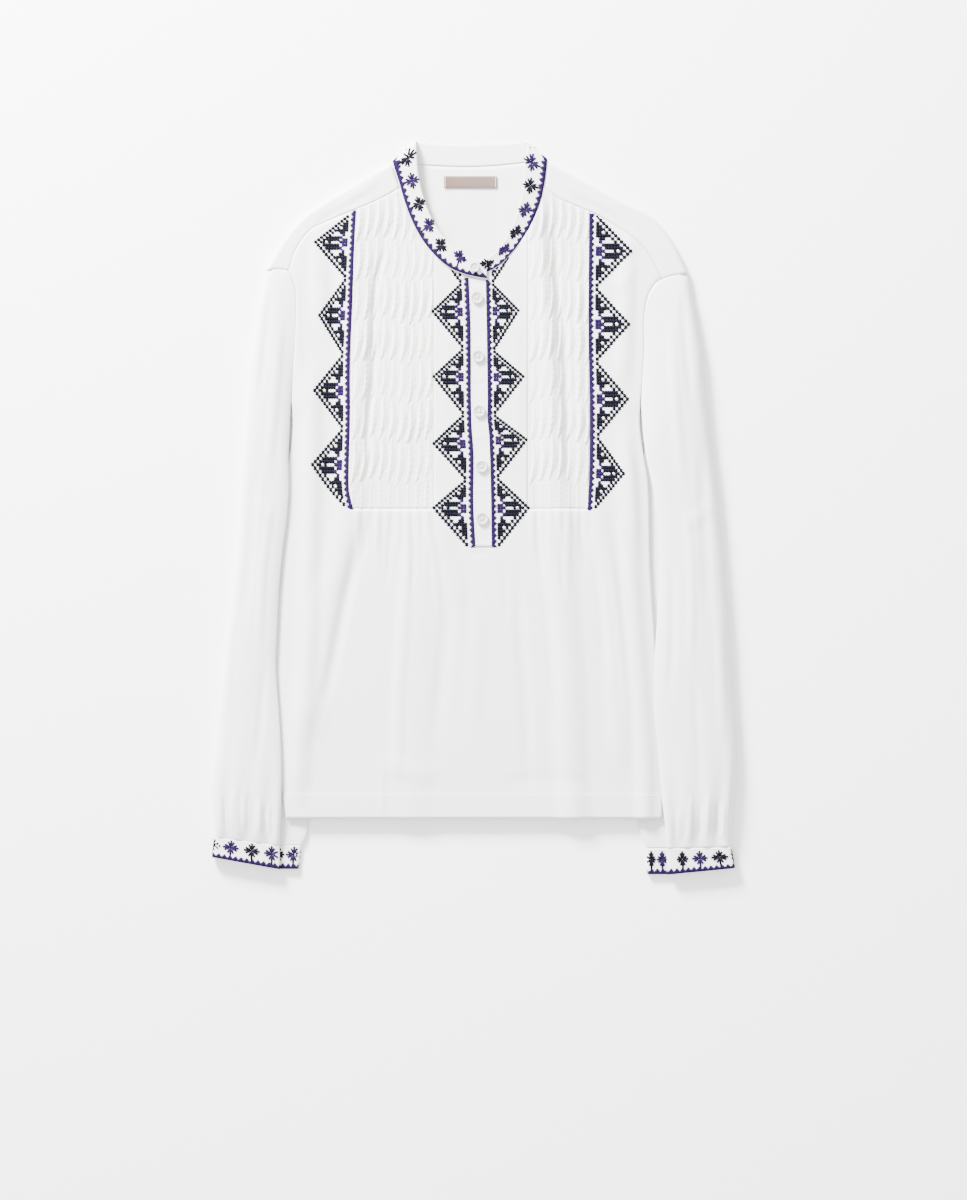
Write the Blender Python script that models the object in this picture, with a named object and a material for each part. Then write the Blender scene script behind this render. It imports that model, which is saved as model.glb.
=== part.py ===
"""Embroidered folk blouse, laid flat on its back on a table.

The body is two layers with air between them: the front and back yoke, the front with its two
tucked inserts and its button placket, and the back. Each sleeve is a flattened tube with a pleat
along its inner side: its lower half is tucked under the body and shows again below the hem.
Tables are in millimetres and MM turns them into metres. +X is to the right of the picture,
+Y runs from the hem to the collar, and z = 0 is the table.
"""
import bpy
import bmesh
from math import cos, hypot, pi, sin

MM = 0.001

# Cloth
WALL = 1.3              # body cloth with its seam allowances
SLEEVE_WALL = 1.2
SEAM_GAP = 0.4          # clear gap between two pieces at a seam
ARMHOLE_GAP = 0.6
SHOULDER_GAP = 1.0      # between yoke and sleeve, where both turn over the shoulder
NECK_GAP = 0.6
CORNER_SHIFT = (0.85, 0.35)     # of the front's corner, in and down from the yoke and the sleeve
CUFF_GAP = 0.8
REST_GAP = 0.3          # under a button and under the label
UNDERARM_SHIFT = 0.9    # of the body's corner at the underarm, in from the sleeve
LAY = 7.0               # underside of the front layer above the table
TUCKED_LIFT = 4.0       # underside of the back where it lies over a tucked sleeve
EDGE_LAY = 5.75         # underside of the front along the side seams
SHOULDER_ROUND = 3.5    # radius of the cloth where it turns over the shoulder
SHOULDER_STEPS = 4

# Body
HEM_Y = -293.6
HEM_DEPTH = 23.0
HEM_STEP = 0.6          # extra height of the turned-up hem
HEM_EDGE = 1.2          # length over which the hem's upper edge falls off
PLACKET_END_Y = -36.0
BACK_SEAM_Y = 212.0     # seam between the back and the back yoke
UNDERARM_Y = 103.5
UNDERARM_FADE = 20.0    # length below the underarm over which the side seam comes down
SIDE_SLOPE = 16.0       # width of the front layer's slope down to the side seam
TUCK_CLEAR = 18.0       # how far inside the tucked cloth the back starts to rise
TUCK_SLOPE = 13.0
PLEAT_START_Y = 60.0    # above it the sleeves lie beside the body, below it they are tucked
PLEAT_FULL_Y = 20.0

# Small parts
BUTTON_RADIUS = 5.6
COLLAR_BUTTON_RADIUS = 4.3
BUTTON_HEIGHT = 2.0
BUTTON_SIDES = 16
BUTTON_OUTLINE = [(0.0, 0.0), (0.86, 0.0), (1.0, 0.35), (1.0, 0.75), (0.9, 1.0), (0.74, 0.95),
                  (0.62, 0.62), (0.0, 0.55)]      # share of the radius, share of the height
COLLAR_BUTTON_Z = 11.65
PLACKET_RISE = 0.55     # underside of the placket above that of the front layer
UNDERLAP_RISE = -1.65
UNDERLAP_INSET = 1.2
UNDERLAP_DROP = 3.0
STRIP_ROWS = 14
LABEL_BOX = (-28.5, 21.8, 304.5, 315.9)
LABEL_HEIGHT = 0.6
TUCK_HEIGHT = 1.7
TUCK_WAVE = 2.8         # sideways swing of a tuck inside one row
TUCK_ROW = 38.2
TUCK_ROW_END_Y = 25.6   # lowest row line; below it the tucks are pressed straight
TUCK_WAVE_START = 0.25  # of a turn
TUCK_WAVE_BACK = 0.7    # size of the swing to the left as a share of that to the right

# One side of the garment. Columns are (out, up): out is the distance from the middle line.
# armhole runs from the shoulder's outline to the underarm; shoulder from the neck to the
# armhole; forward_seam from the neck to the armhole. Edge tables are rows of (up, out).
# Columns of cuff, from its top line to its bottom line: out and up of the outer edge, out and up
# of the inner edge, out of the tucked edge.
LEFT = {
    "sign": -1,
    "armhole": [(196.6, 226.5), (190.0, 226.8), (183.0, 226.5), (176.0, 224.6), (170.0, 212.0),
                (168.6, 195.0), (168.8, 175.0), (170.2, 148.0), (172.0, 124.0), (173.8, 103.5)],
    "shoulder": [(78.8, 327.2), (90.2, 320.8), (104.5, 312.9), (118.8, 303.9), (132.7, 295.8),
                 (146.9, 287.0), (163.7, 274.6), (182.4, 251.3), (196.6, 226.5)],
    "forward_seam": [(70.9, 303.9), (80.0, 298.3), (95.0, 290.8), (113.2, 283.0),
                     (128.0, 277.2), (142.0, 271.0), (155.0, 264.4), (168.0, 247.5),
                     (176.0, 224.6)],
    "band_line": [(119.5, 0.0), (113.2, 283.0)],
    "outer_edge": [(226.5, 196.6), (201.4, 201.4), (180.5, 205.2), (141.6, 210.0),
                   (105.5, 213.3), (32.3, 218.5), (-11.4, 221.4), (-64.6, 226.1),
                   (-109.0, 230.9), (-165.0, 237.5), (-212.8, 242.3), (-239.0, 246.0),
                   (-266.0, 248.0), (-284.0, 247.0), (-310.6, 245.4)],
    "inner_edge": [(103.5, 173.8), (56.0, 176.1), (8.5, 176.2), (-47.5, 182.4),
                   (-82.7, 185.3), (-127.3, 187.2), (-151.0, 188.0), (-204.0, 184.3),
                   (-249.0, 182.6), (-292.6, 183.4), (-319.0, 184.5)],
    "body_edge": [(103.5, 171.0), (80.0, 171.6), (60.0, 173.0), (40.0, 176.5), (20.0, 180.0),
                  (-50.0, 183.0), (-100.0, 188.0), (-150.0, 190.0), (-200.0, 189.0),
                  (-250.0, 184.0), (-293.6, 178.0)],
    "tuck_edge": [(20.0, 158.0), (-100.0, 156.0), (-250.0, 155.0), (-294.0, 156.8),
                  (-310.0, 158.7), (-323.0, 163.7)],
    "cuff": [(245.4, -311.2, 184.8, -319.4, 163.9),
             (246.8, -321.3, 184.6, -331.2, 165.4),
             (248.0, -331.0, 184.5, -342.7, 166.9)],
}
RIGHT = {
    "sign": 1,
    "armhole": [(202.3, 222.9), (195.0, 221.8), (187.0, 220.2), (179.0, 217.6), (171.0, 212.0),
                (164.2, 199.0), (161.2, 177.0), (161.4, 152.0), (160.0, 126.0), (158.7, 103.5)],
    "shoulder": [(70.6, 329.2), (84.8, 321.5), (98.0, 314.0), (111.4, 306.6), (124.5, 299.4),
                 (138.0, 292.2), (168.2, 277.0), (187.6, 253.1), (202.3, 222.9)],
    "forward_seam": [(67.6, 304.2), (79.5, 294.5), (94.0, 287.9), (110.6, 281.2),
                     (124.0, 274.3), (138.0, 266.0), (151.0, 256.5), (166.0, 241.0),
                     (179.0, 217.6)],
    "band_line": [(109.6, 0.0), (110.6, 281.2)],
    "outer_edge": [(222.9, 202.3), (209.0, 204.4), (182.4, 209.0), (146.3, 214.7),
                   (103.5, 218.5), (68.4, 222.3), (32.3, 227.0), (-2.9, 230.9),
                   (-47.5, 234.7), (-91.2, 238.5), (-134.0, 241.8), (-177.7, 244.2),
                   (-212.8, 247.0), (-248.9, 248.0), (-275.5, 246.0), (-320.5, 243.0)],
    "inner_edge": [(103.5, 158.7), (94.0, 158.9), (56.0, 162.4), (8.5, 171.9), (-39.0, 175.8),
                   (-86.5, 174.8), (-134.0, 171.9), (-181.4, 170.3), (-228.9, 174.6),
                   (-266.9, 177.4), (-290.7, 180.4), (-321.5, 183.0)],
    "body_edge": [(103.5, 156.0), (80.0, 157.0), (60.0, 159.2), (40.0, 162.5), (20.0, 165.6),
                  (-50.0, 167.0), (-100.0, 170.0), (-150.0, 174.0), (-200.0, 178.0),
                  (-250.0, 180.0), (-293.6, 178.5)],
    "tuck_edge": [(20.0, 146.0), (-100.0, 150.0), (-250.0, 156.0), (-296.0, 156.0),
                  (-304.0, 156.8), (-323.0, 162.6)],
    "cuff": [(243.2, -321.0, 183.0, -322.2, 163.7),
             (245.2, -331.6, 183.4, -335.4, 164.0),
             (247.0, -341.5, 184.0, -347.8, 164.6)],
}
SIDES = (("left", LEFT), ("right", RIGHT))

# Across one sleeve, from its outer edge over the top to the inner fold, in under it to the root
# of the pleat, out along the tucked part and back along the table.
# Columns: place on the armhole, share of the upper width, of the pleat's depth, of the tucked
# width, then the height of the cloth's middle at the seam, as a plain tube and as a pleated one.
SLEEVE_RING = [
    (0.0, 0.000, 0.0, 0.00, 4.15, 5.6, 5.6),
    (1.0, 0.020, 0.0, 0.00, 7.20, 9.4, 9.4),
    (2.0, 0.090, 0.0, 0.00, 7.65, 12.4, 12.4),
    (3.0, 0.210, 0.0, 0.00, 7.65, 14.2, 14.2),
    (4.0, 0.360, 0.0, 0.00, 7.65, 15.0, 15.0),
    (5.0, 0.520, 0.0, 0.00, 7.65, 15.1, 15.1),
    (6.0, 0.680, 0.0, 0.00, 7.65, 14.6, 14.6),
    (7.0, 0.830, 0.0, 0.00, 7.65, 13.6, 13.8),
    (8.0, 0.950, 0.0, 0.00, 7.50, 11.8, 12.0),
    (9.0, 1.000, 0.0, 0.00, 6.60, 9.8, 10.0),
    (9.0, 1.000, 0.5, 0.00, 5.60, 8.2, 8.3),
    (9.0, 1.000, 0.9, 0.00, 4.70, 6.8, 7.7),
    (9.0, 1.000, 1.0, 0.00, 3.80, 5.4, 5.5),
    (9.0, 1.000, 0.9, 0.00, 3.00, 4.1, 3.4),
    (9.0, 1.000, 0.4, 0.00, 2.30, 3.0, 2.95),
    (9.0, 1.000, 0.0, 0.92, 1.80, 1.9, 2.9),
    (8.96, 0.988, 0.0, 1.00, 1.15, 1.1, 1.75),
    (8.80, 0.960, 0.0, 0.95, 0.62, 0.65, 0.6),
    (8.0, 0.890, 0.0, 0.35, 0.60, 0.6, 0.6),
    (7.0, 0.780, 0.0, 0.05, 0.60, 0.6, 0.6),
    (6.0, 0.640, 0.0, 0.00, 0.60, 0.6, 0.6),
    (5.0, 0.490, 0.0, 0.00, 0.60, 0.6, 0.6),
    (4.0, 0.340, 0.0, 0.00, 0.60, 0.6, 0.6),
    (3.0, 0.190, 0.0, 0.00, 0.60, 0.6, 0.6),
    (2.0, 0.080, 0.0, 0.00, 0.60, 0.6, 0.6),
    (0.6, 0.010, 0.0, 0.00, 1.40, 2.0, 2.0),
]
PLEAT_MIN_DEPTH = 3.0
PLEAT_OPENS = 4.0       # how much sooner the pleat reaches its height than its depth
PLEAT_FLAT = 0.5        # share of the pleat's height in a flat tube, and what fullness adds
PLEAT_GROWS = 0.55
BODY_TO_PLEAT = 3.0
TOP_ROWS = range(0, 9)      # rows of SLEEVE_RING on its upper side
PLEAT_ROWS = range(9, 14)   # rows round the root of the pleat, closed up where the tube is low
TUCK_HEIGHT_LEVEL = 2.95    # middle of the tucked cloth
GATHER_ROWS = range(2, 9)   # rows that the gathers at the cuff raise and lower
GATHER_HEIGHT = 1.1

# Along one sleeve: up of the outer edge, up of the inner edge, share of the full height, share
# of the armhole's curve that is left, gathers. Below the last row comes the cuff's top line.
SLEEVE_STATIONS = [
    (226.5, 103.5, 0.00, 1.00, 0.0),
    (212.0, 88.0, 0.30, 0.52, 0.0),
    (194.0, 73.0, 0.60, 0.24, 0.0),
    (172.0, 62.0, 0.84, 0.08, 0.0),
    (146.0, 50.0, 1.00, 0.00, 0.0),
    (116.0, 36.0, 1.00, 0.00, 0.0),
    (86.0, 18.0, 1.00, 0.00, 0.0),
    (50.0, -8.0, 0.96, 0.00, 0.0),
    (10.0, -40.0, 0.92, 0.00, 0.0),
    (-35.0, -75.0, 0.96, 0.00, 0.0),
    (-80.0, -112.0, 1.00, 0.00, 0.0),
    (-125.0, -150.0, 0.98, 0.00, 0.0),
    (-170.0, -188.0, 0.94, 0.00, 0.0),
    (-210.0, -222.0, 0.94, 0.00, 0.1),
    (-243.0, -252.0, 0.96, 0.00, 0.3),
    (-268.0, -276.0, 0.90, 0.00, 0.7),
    (-288.0, -296.0, 0.72, 0.00, 1.0),
    (-302.0, -310.0, 0.42, 0.00, 1.0),
]
CUFF_LINE = (0.12, 0.5)     # share of full height and gathers where the sleeve meets its cuff

# Largest folds of the front layer: half width, height, and rows of (up, x) along the crest.
# Heights fade out over FOLD_FADE at both ends, unless the fold runs through the hem.
FOLD_FADE = 45.0
FOLDS = [
    (20.0, 3.0, [(290.0, -116.0), (200.0, -114.0), (100.0, -114.0), (0.0, -118.0),
                 (-47.0, -128.0), (-91.0, -141.0), (-150.0, -148.0), (-230.0, -158.0)]),
    (15.0, 3.2, [(150.0, -154.0), (60.0, -155.0), (0.0, -156.0), (-74.0, -158.0),
                 (-134.0, -160.0), (-196.0, -164.0), (-290.0, -168.0)]),
    (24.0, 1.4, [(20.0, -50.0), (-74.0, -52.0), (-127.0, -55.0), (-213.0, -57.0),
                 (-360.0, -60.0)]),
    (13.0, 1.4, [(30.0, -30.0), (-38.0, -27.0), (-74.0, -21.0), (-140.0, -14.0)]),
    (20.0, 3.6, [(320.0, 56.0), (255.0, 61.0), (198.0, 66.0), (103.0, 73.0), (27.0, 76.0),
                 (0.0, 79.0), (-56.0, 81.0), (-109.0, 85.0), (-162.0, 89.0), (-360.0, 96.0)]),
    (14.0, 2.0, [(30.0, 112.0), (-91.0, 127.0), (-162.0, 133.0), (-260.0, 141.0)]),
    (13.0, 2.8, [(90.0, 144.0), (0.0, 147.0), (-91.0, 151.0), (-178.0, 157.0),
                 (-249.0, 162.0), (-360.0, 163.0)]),
    (12.0, 2.2, [(275.0, 148.0), (200.0, 144.0), (100.0, 140.0)]),
    (11.0, 2.0, [(270.0, -148.0), (220.0, -146.0), (150.0, -142.0)]),
]

# Gathers under the tucked inserts: x at the seam, length, height
GATHERS = [
    (-110.0, 60.0, 1.3), (-100.7, 40.0, 1.1), (-91.4, 75.0, 1.4), (-82.1, 45.0, 1.1),
    (-72.8, 55.0, 1.2), (-63.5, 90.0, 1.5), (-54.2, 50.0, 1.2), (-44.9, 85.0, 1.4),
    (55.5, 60.0, 1.2), (63.9, 45.0, 1.3), (72.3, 80.0, 1.2), (80.7, 50.0, 1.4),
    (89.1, 95.0, 1.5), (97.5, 55.0, 1.2), (105.5, 40.0, 1.0),
]
GATHER_HALF = 4.4

# Placket and inserts, x where they meet the bib seam line and the neck
STRIP_LEFT_X = -38.0
STRIP_RIGHT_X = 51.0
PLACKET_LINES = {"left": (-6.4, -0.2), "right": (12.3, 18.1)}    # x at the neck and at the end
PLACKET_TOP_Y = {"left": 219.3, "right": 216.6}
STRIP_TOP = {
    "left": [(-38.0, 240.3), (-30.9, 234.2), (-23.8, 228.1), (-16.4, 225.0), (-6.4, 221.0)],
    "right": [(12.9, 224.1), (25.2, 231.3), (36.1, 242.2), (45.0, 253.8), (51.0, 263.3)],
}
BUTTONS = [(2.9, 199.9), (4.0, 144.4), (4.9, 92.4), (7.2, 40.0), (7.8, -9.5)]
COLLAR_BUTTON = (0.6, 228.6)

# Collar band, from its left end over the front, round the shoulders and the back, to its right
# end below the left one. Columns: base x, y, top x, y, height of the base, height of the top.
COLLAR = [
    (12.4, 217.3, 11.6, 235.2, 9.75, 10.9),
    (3.0, 218.9, 4.4, 235.4, 9.75, 10.9),
    (-9.0, 221.8, -6.2, 237.8, 9.55, 10.9),
    (-23.8, 228.1, -16.7, 245.2, 8.5, 10.3),
    (-38.0, 240.3, -27.2, 255.6, 7.75, 9.7),
    (-50.1, 255.4, -36.6, 268.6, 7.65, 9.5),
    (-60.0, 273.8, -44.0, 284.0, 7.65, 9.4),
    (-67.0, 292.4, -49.0, 299.0, 7.65, 9.3),
    (-72.0, 309.5, -52.2, 314.4, 7.65, 9.2),
    (-75.8, 320.6, -54.0, 331.0, 7.4, 9.0),
    (-77.2, 325.8, -54.8, 343.8, 6.6, 8.2),
    (-77.9, 328.4, -55.2, 348.6, 4.2, 4.9),
    (-76.6, 328.6, -54.2, 348.6, 1.6, 1.7),
    (-69.0, 328.0, -50.0, 348.0, 0.65, 0.65),
    (-52.0, 327.0, -42.0, 347.0, 0.65, 0.65),
    (-30.0, 325.6, -26.0, 346.0, 0.65, 0.65),
    (-4.3, 325.0, -4.0, 345.6, 0.65, 0.65),
    (22.0, 326.2, 18.0, 346.2, 0.65, 0.65),
    (44.0, 328.6, 36.0, 347.2, 0.65, 0.65),
    (61.0, 330.4, 44.6, 348.2, 0.65, 0.65),
    (68.6, 331.0, 49.0, 348.8, 1.6, 1.7),
    (69.9, 330.6, 50.6, 348.0, 4.2, 4.9),
    (69.9, 327.2, 50.2, 341.6, 6.6, 8.2),
    (69.3, 319.6, 48.0, 329.6, 7.4, 9.0),
    (67.7, 308.0, 47.0, 313.6, 7.65, 9.2),
    (64.5, 294.0, 45.4, 298.6, 7.65, 9.3),
    (59.5, 280.5, 41.2, 282.8, 7.65, 9.4),
    (53.0, 266.5, 36.6, 269.0, 7.65, 9.4),
    (45.0, 253.8, 30.6, 257.0, 7.65, 9.3),
    (36.1, 242.2, 24.0, 246.6, 7.65, 9.1),
    (25.2, 231.3, 16.2, 239.2, 7.65, 8.9),
    (13.2, 224.3, 8.0, 235.4, 7.65, 8.8),
    (2.0, 220.7, 0.4, 234.2, 7.65, 8.7),
    (-6.2, 219.9, -6.2, 234.2, 7.65, 8.7),
]
NECK_LEFT = slice(3, 9)      # rows of COLLAR whose base borders the left insert
NECK_RIGHT = slice(24, 32)

MATERIALS = {
    "cloth": ((0.80, 0.79, 0.76, 1.0), 0.85),
    "tucks": ((0.78, 0.77, 0.73, 1.0), 0.88),
    "trim": ((0.82, 0.81, 0.79, 1.0), 0.80),
    "button": ((0.86, 0.85, 0.82, 1.0), 0.25),
    "label": ((0.55, 0.38, 0.31, 1.0), 0.75),
}


def ease(share):
    """Soft step from 0 to 1."""
    share = min(1.0, max(0.0, share))
    return share * share * (3.0 - 2.0 * share)


def bump(distance, half_width):
    """Round ridge, 1 on its crest and 0 from half_width on."""
    share = abs(distance) / half_width
    return (1.0 - share * share) ** 2 if share < 1.0 else 0.0


def curve_at(rows, key):
    """Smooth curve through rows of (key, value), held at its ends."""
    rows = sorted(rows)
    if key <= rows[0][0]:
        return rows[0][1]
    if key >= rows[-1][0]:
        return rows[-1][1]
    k = max(i for i in range(len(rows) - 1) if rows[i][0] <= key)
    slopes = []
    for i in (k, k + 1):
        before = rows[max(i - 1, 0)]
        after = rows[min(i + 1, len(rows) - 1)]
        slopes.append((after[1] - before[1]) / (after[0] - before[0]))
    span = rows[k + 1][0] - rows[k][0]
    t = (key - rows[k][0]) / span
    return ((2 * t**3 - 3 * t**2 + 1) * rows[k][1] + (t**3 - 2 * t**2 + t) * span * slopes[0]
            + (3 * t**2 - 2 * t**3) * rows[k + 1][1] + (t**3 - t**2) * span * slopes[1])


def between(a, b, share):
    return tuple(p + (q - p) * share for p, q in zip(a, b))


def along(points, place):
    """Point at a whole or broken place in a list of points."""
    k = min(int(place), len(points) - 2)
    return between(points[k], points[k + 1], place - k)


def aside(points, distance):
    """The list of points moved to its left by distance."""
    result = []
    for n, point in enumerate(points):
        before = points[max(n - 1, 0)]
        after = points[min(n + 1, len(points) - 1)]
        length = hypot(after[0] - before[0], after[1] - before[1])
        result.append((point[0] - (after[1] - before[1]) / length * distance,
                       point[1] + (after[0] - before[0]) / length * distance))
    return result


def body_hole(side, gap):
    """Armhole edge of a body piece, from the shoulder to the underarm, clear of the sleeve."""
    line = signed(side, side["armhole"])
    line = aside(line, gap if side is LEFT else -gap)
    end_x, end_y = line[-1]
    line[-1] = (end_x - side["sign"] * UNDERARM_SHIFT, end_y)
    return line


def coons(bottom, top, left, right):
    """Rows of points that fill the area between four lists of points."""
    cols = len(bottom) - 1
    rows = len(left) - 1
    grid = []
    for r in range(rows + 1):
        v = r / rows
        row = []
        for c in range(cols + 1):
            u = c / cols
            point = []
            for k in (0, 1):
                sides = (1 - u) * left[r][k] + u * right[r][k]
                ends = (1 - v) * bottom[c][k] + v * top[c][k]
                corners = ((1 - u) * (1 - v) * bottom[0][k] + u * (1 - v) * bottom[-1][k]
                           + (1 - u) * v * top[0][k] + u * v * top[-1][k])
                point.append(sides + ends - corners)
            row.append(tuple(point))
        grid.append(row)
    return grid


def folds_at(x, y):
    """Height that the largest folds add to the front layer."""
    height = 0.0
    for half_width, crest, line in FOLDS:
        ends = min((line[0][0] - y), (y - line[-1][0])) / FOLD_FADE
        if ends > 0.0:
            height += crest * ease(ends) * bump(x - curve_at(line, y), half_width)
    return height


def edge_drop(x, y):
    """Share of the way down to the side seam."""
    side = LEFT if x < 0 else RIGHT
    inside = curve_at(side["body_edge"], y) - abs(x)
    return (1.0 - ease(inside / SIDE_SLOPE)) * ease((UNDERARM_Y - y) / UNDERARM_FADE)


def lay(x, y):
    """Underside of the front layer."""
    drop = edge_drop(x, y)
    return (LAY + folds_at(x, y)) * (1.0 - drop) + EDGE_LAY * drop


def gathers_at(x, y):
    height = 0.0
    for at, length, crest in GATHERS:
        if -length < y <= 0.5:
            height += crest * ease((y + length) / length) * bump(x - at, GATHER_HALF)
    return height


def material(name):
    found = bpy.data.materials.get(name)
    if found:
        return found
    colour, roughness = MATERIALS[name]
    made = bpy.data.materials.new(name)
    made.use_nodes = True
    shader = made.node_tree.nodes["Principled BSDF"]
    shader.inputs["Base Color"].default_value = colour
    shader.inputs["Roughness"].default_value = roughness
    shader.inputs["Metallic"].default_value = 0.0
    return made


def place(name, work, material_name, smooth=True):
    """Turn a bmesh in millimetres into an object in metres."""
    bmesh.ops.recalc_face_normals(work, faces=work.faces)
    bmesh.ops.scale(work, vec=(MM, MM, MM), verts=work.verts)
    mesh = bpy.data.meshes.new(name)
    work.to_mesh(mesh)
    work.free()
    if smooth:
        mesh.shade_smooth()
    mesh.materials.append(material(material_name))
    made = bpy.data.objects.new(name, mesh)
    bpy.context.scene.collection.objects.link(made)
    return made


def panel(name, spots, cells, under, over, material_name, step):
    """Closed cloth panel: a fine upper side over a plain underside.

    spots maps (column, row) to (x, y), cells holds the lower corner of each part that is there,
    and step(column) says how many columns and rows one face of the underside spans.
    """
    work = bmesh.new()
    used = {(c + i, r + j) for c, r in cells for i in (0, 1) for j in (0, 1)}
    upper = {}
    lower = {}
    for spot in sorted(used):
        x, y = spots[spot]
        upper[spot] = work.verts.new((x, y, over(x, y, *spot)))
    rims = []
    for c, r in sorted(cells):
        work.faces.new([upper[s] for s in ((c, r), (c + 1, r), (c + 1, r + 1), (c, r + 1))])
        for near, a, b in (((c, r - 1), (c, r), (c + 1, r)),
                           ((c + 1, r), (c + 1, r), (c + 1, r + 1)),
                           ((c, r + 1), (c + 1, r + 1), (c, r + 1)),
                           ((c - 1, r), (c, r + 1), (c, r))):
            if near not in cells:
                rims.append((a, b))

    def under_vertex(spot):
        if spot not in lower:
            x, y = spots[spot]
            lower[spot] = work.verts.new((x, y, under(x, y)))
        return lower[spot]

    for c, r in sorted(cells):
        wide, deep = step(c)
        if c % wide or r % deep:
            continue
        at_left = (c - 1, r) not in cells
        at_low = (c, r - 1) not in cells
        at_high = (c, r + deep) not in cells
        at_right = (c + wide, r) not in cells
        loop = []
        loop += [(c + i, r) for i in range(wide) if i == 0 or at_low]
        loop += [(c + wide, r + j) for j in range(deep) if j == 0 or at_right]
        loop += [(c + wide - i, r + deep) for i in range(wide) if i == 0 or at_high]
        loop += [(c, r + deep - j) for j in range(deep) if j == 0 or at_left]
        corner = loop.index((c + wide if at_left else c, r + deep if at_low else r))
        loop = loop[corner:] + loop[:corner]
        for one, two in zip(loop[1:], loop[2:]):
            work.faces.new([under_vertex(s) for s in (two, one, loop[0])])
    for a, b in rims:
        work.faces.new((upper[b], upper[a], under_vertex(a), under_vertex(b)))
    return place(name, work, material_name)


def sheet(name, spots, cells, wall, material_name):
    """Cloth of even thickness through points of its middle, thickened to both sides."""
    work = bmesh.new()
    vertices = {}
    for cell in sorted(cells):
        for spot in cell:
            if spot not in vertices:
                vertices[spot] = work.verts.new(spots[spot])
    for cell in sorted(cells):
        work.faces.new([vertices[s] for s in cell])
    made = place(name, work, material_name)
    thick = made.modifiers.new("Cloth", "SOLIDIFY")
    thick.thickness = wall * MM
    thick.offset = 0.0
    thick.use_even_offset = False
    thick.use_rim = True
    return made


def grid_cells(columns, rows, around=False):
    """Four corners of each cell in a grid of columns by rows, closed round the columns or not."""
    cells = []
    for r in range(rows):
        for c in range(columns):
            after = (c + 1) % columns if around else c + 1
            cells.append(((c, r), (after, r), (after, r + 1), (c, r + 1)))
    return cells


def line_x(line, y):
    """x on a straight line through two (x, y) points."""
    (x0, y0), (x1, y1) = line
    return x0 + (x1 - x0) * (y - y0) / (y1 - y0)


def placket_x(which, y):
    top, end = PLACKET_LINES[which]
    return top + (end - top) * (PLACKET_TOP_Y[which] - y) / (PLACKET_TOP_Y[which] - PLACKET_END_Y)


def band_x(side, y):
    """x of the line between a tucked insert and the side of the front."""
    return side["sign"] * line_x(side["band_line"], y)


def signed(side, points):
    return [(side["sign"] * out, up) for out, up in points]


# Columns of the front: name of the stop on the right, number of cells up to it
FRONT_BLOCKS = [("band_left", 8), ("strip_left", 16), ("placket_left", 4), ("placket_right", 2),
                ("strip_right", 4), ("band_right", 14), ("edge_right", 8)]
FRONT_LOWER_Y = [HEM_Y, HEM_Y + HEM_DEPTH - HEM_EDGE, HEM_Y + HEM_DEPTH, -249.0, -226.0, -203.0,
                 -180.0, -157.0, -134.0, -111.0, -90.0, -70.0, -52.0, PLACKET_END_Y, -17.0, 0.0]
SIDE_UPPER_Y = [0.0, 26.0, 52.0, 78.0]
SIDE_BLOCK_PLACES = [3.0, 3.5, 4.0, 4.5, 5.0, 5.5, 6.0, 7.0, 8.0]   # on the forward seam
GATHERED_COLUMNS = (range(8, 24), range(34, 48))


def front_stops(y):
    """x of the lines between the blocks of the front at one height."""
    return [-curve_at(LEFT["body_edge"], y), band_x(LEFT, max(y, 0.0)), STRIP_LEFT_X,
            placket_x("left", y), placket_x("right", y), STRIP_RIGHT_X,
            band_x(RIGHT, max(y, 0.0)), curve_at(RIGHT["body_edge"], y)]


def front_row(y):
    stops = front_stops(y)
    row = []
    for n, (_, count) in enumerate(FRONT_BLOCKS):
        row += [(stops[n] + (stops[n + 1] - stops[n]) * c / count, y) for c in range(count)]
    return row + [(stops[-1], y)]


def side_edge(side):
    """Edge of the front from the bib line up the side and round the armhole to the yoke."""
    below = [(curve_at(side["body_edge"], y), y) for y in SIDE_UPPER_Y]
    hole = body_hole(side, ARMHOLE_GAP)[3:][::-1]
    top_x, top_y = hole[-1]
    corner = (top_x - side["sign"] * CORNER_SHIFT[0], top_y - CORNER_SHIFT[1])
    return signed(side, below) + hole[:-1] + [corner]


def under_seam(points):
    """A seam line moved down by the gap between two pieces."""
    return [(x, y - SEAM_GAP) for x, y in points]


def upper_block(side, bottom):
    """Points of the front between the armhole and the tucked insert."""
    edge = side_edge(side)
    rows = len(edge) - 1
    seam = signed(side, side["forward_seam"])
    high = side["band_line"][1][1] - SEAM_GAP
    inner = [(band_x(side, high * r / rows) + side["sign"] * SEAM_GAP / 2, high * r / rows)
             for r in range(rows + 1)]
    top = under_seam([along(seam, place) for place in SIDE_BLOCK_PLACES])
    top[0] = inner[-1]
    top[-1] = edge[-1]
    if side is LEFT:
        return coons(bottom, top[::-1], edge, inner)
    return coons(bottom, top, inner, edge)


def strip_block(which, bottom, rows):
    """Points of the front between the placket and a tucked insert."""
    top = aside(STRIP_TOP[which], -NECK_GAP)
    left_ys = [top[0][1] * r / rows for r in range(rows + 1)]
    right_ys = [top[-1][1] * r / rows for r in range(rows + 1)]
    if which == "left":
        left = [(STRIP_LEFT_X, y) for y in left_ys]
        right = [(placket_x("left", y) - SEAM_GAP / 2, y) for y in right_ys]
    else:
        left = [(placket_x("right", y) + SEAM_GAP / 2, y) for y in left_ys]
        right = [(STRIP_RIGHT_X, y) for y in right_ys]
    top = [left[-1]] + top[1:-1] + [right[-1]]
    return coons(bottom, top, left, right)


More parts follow.
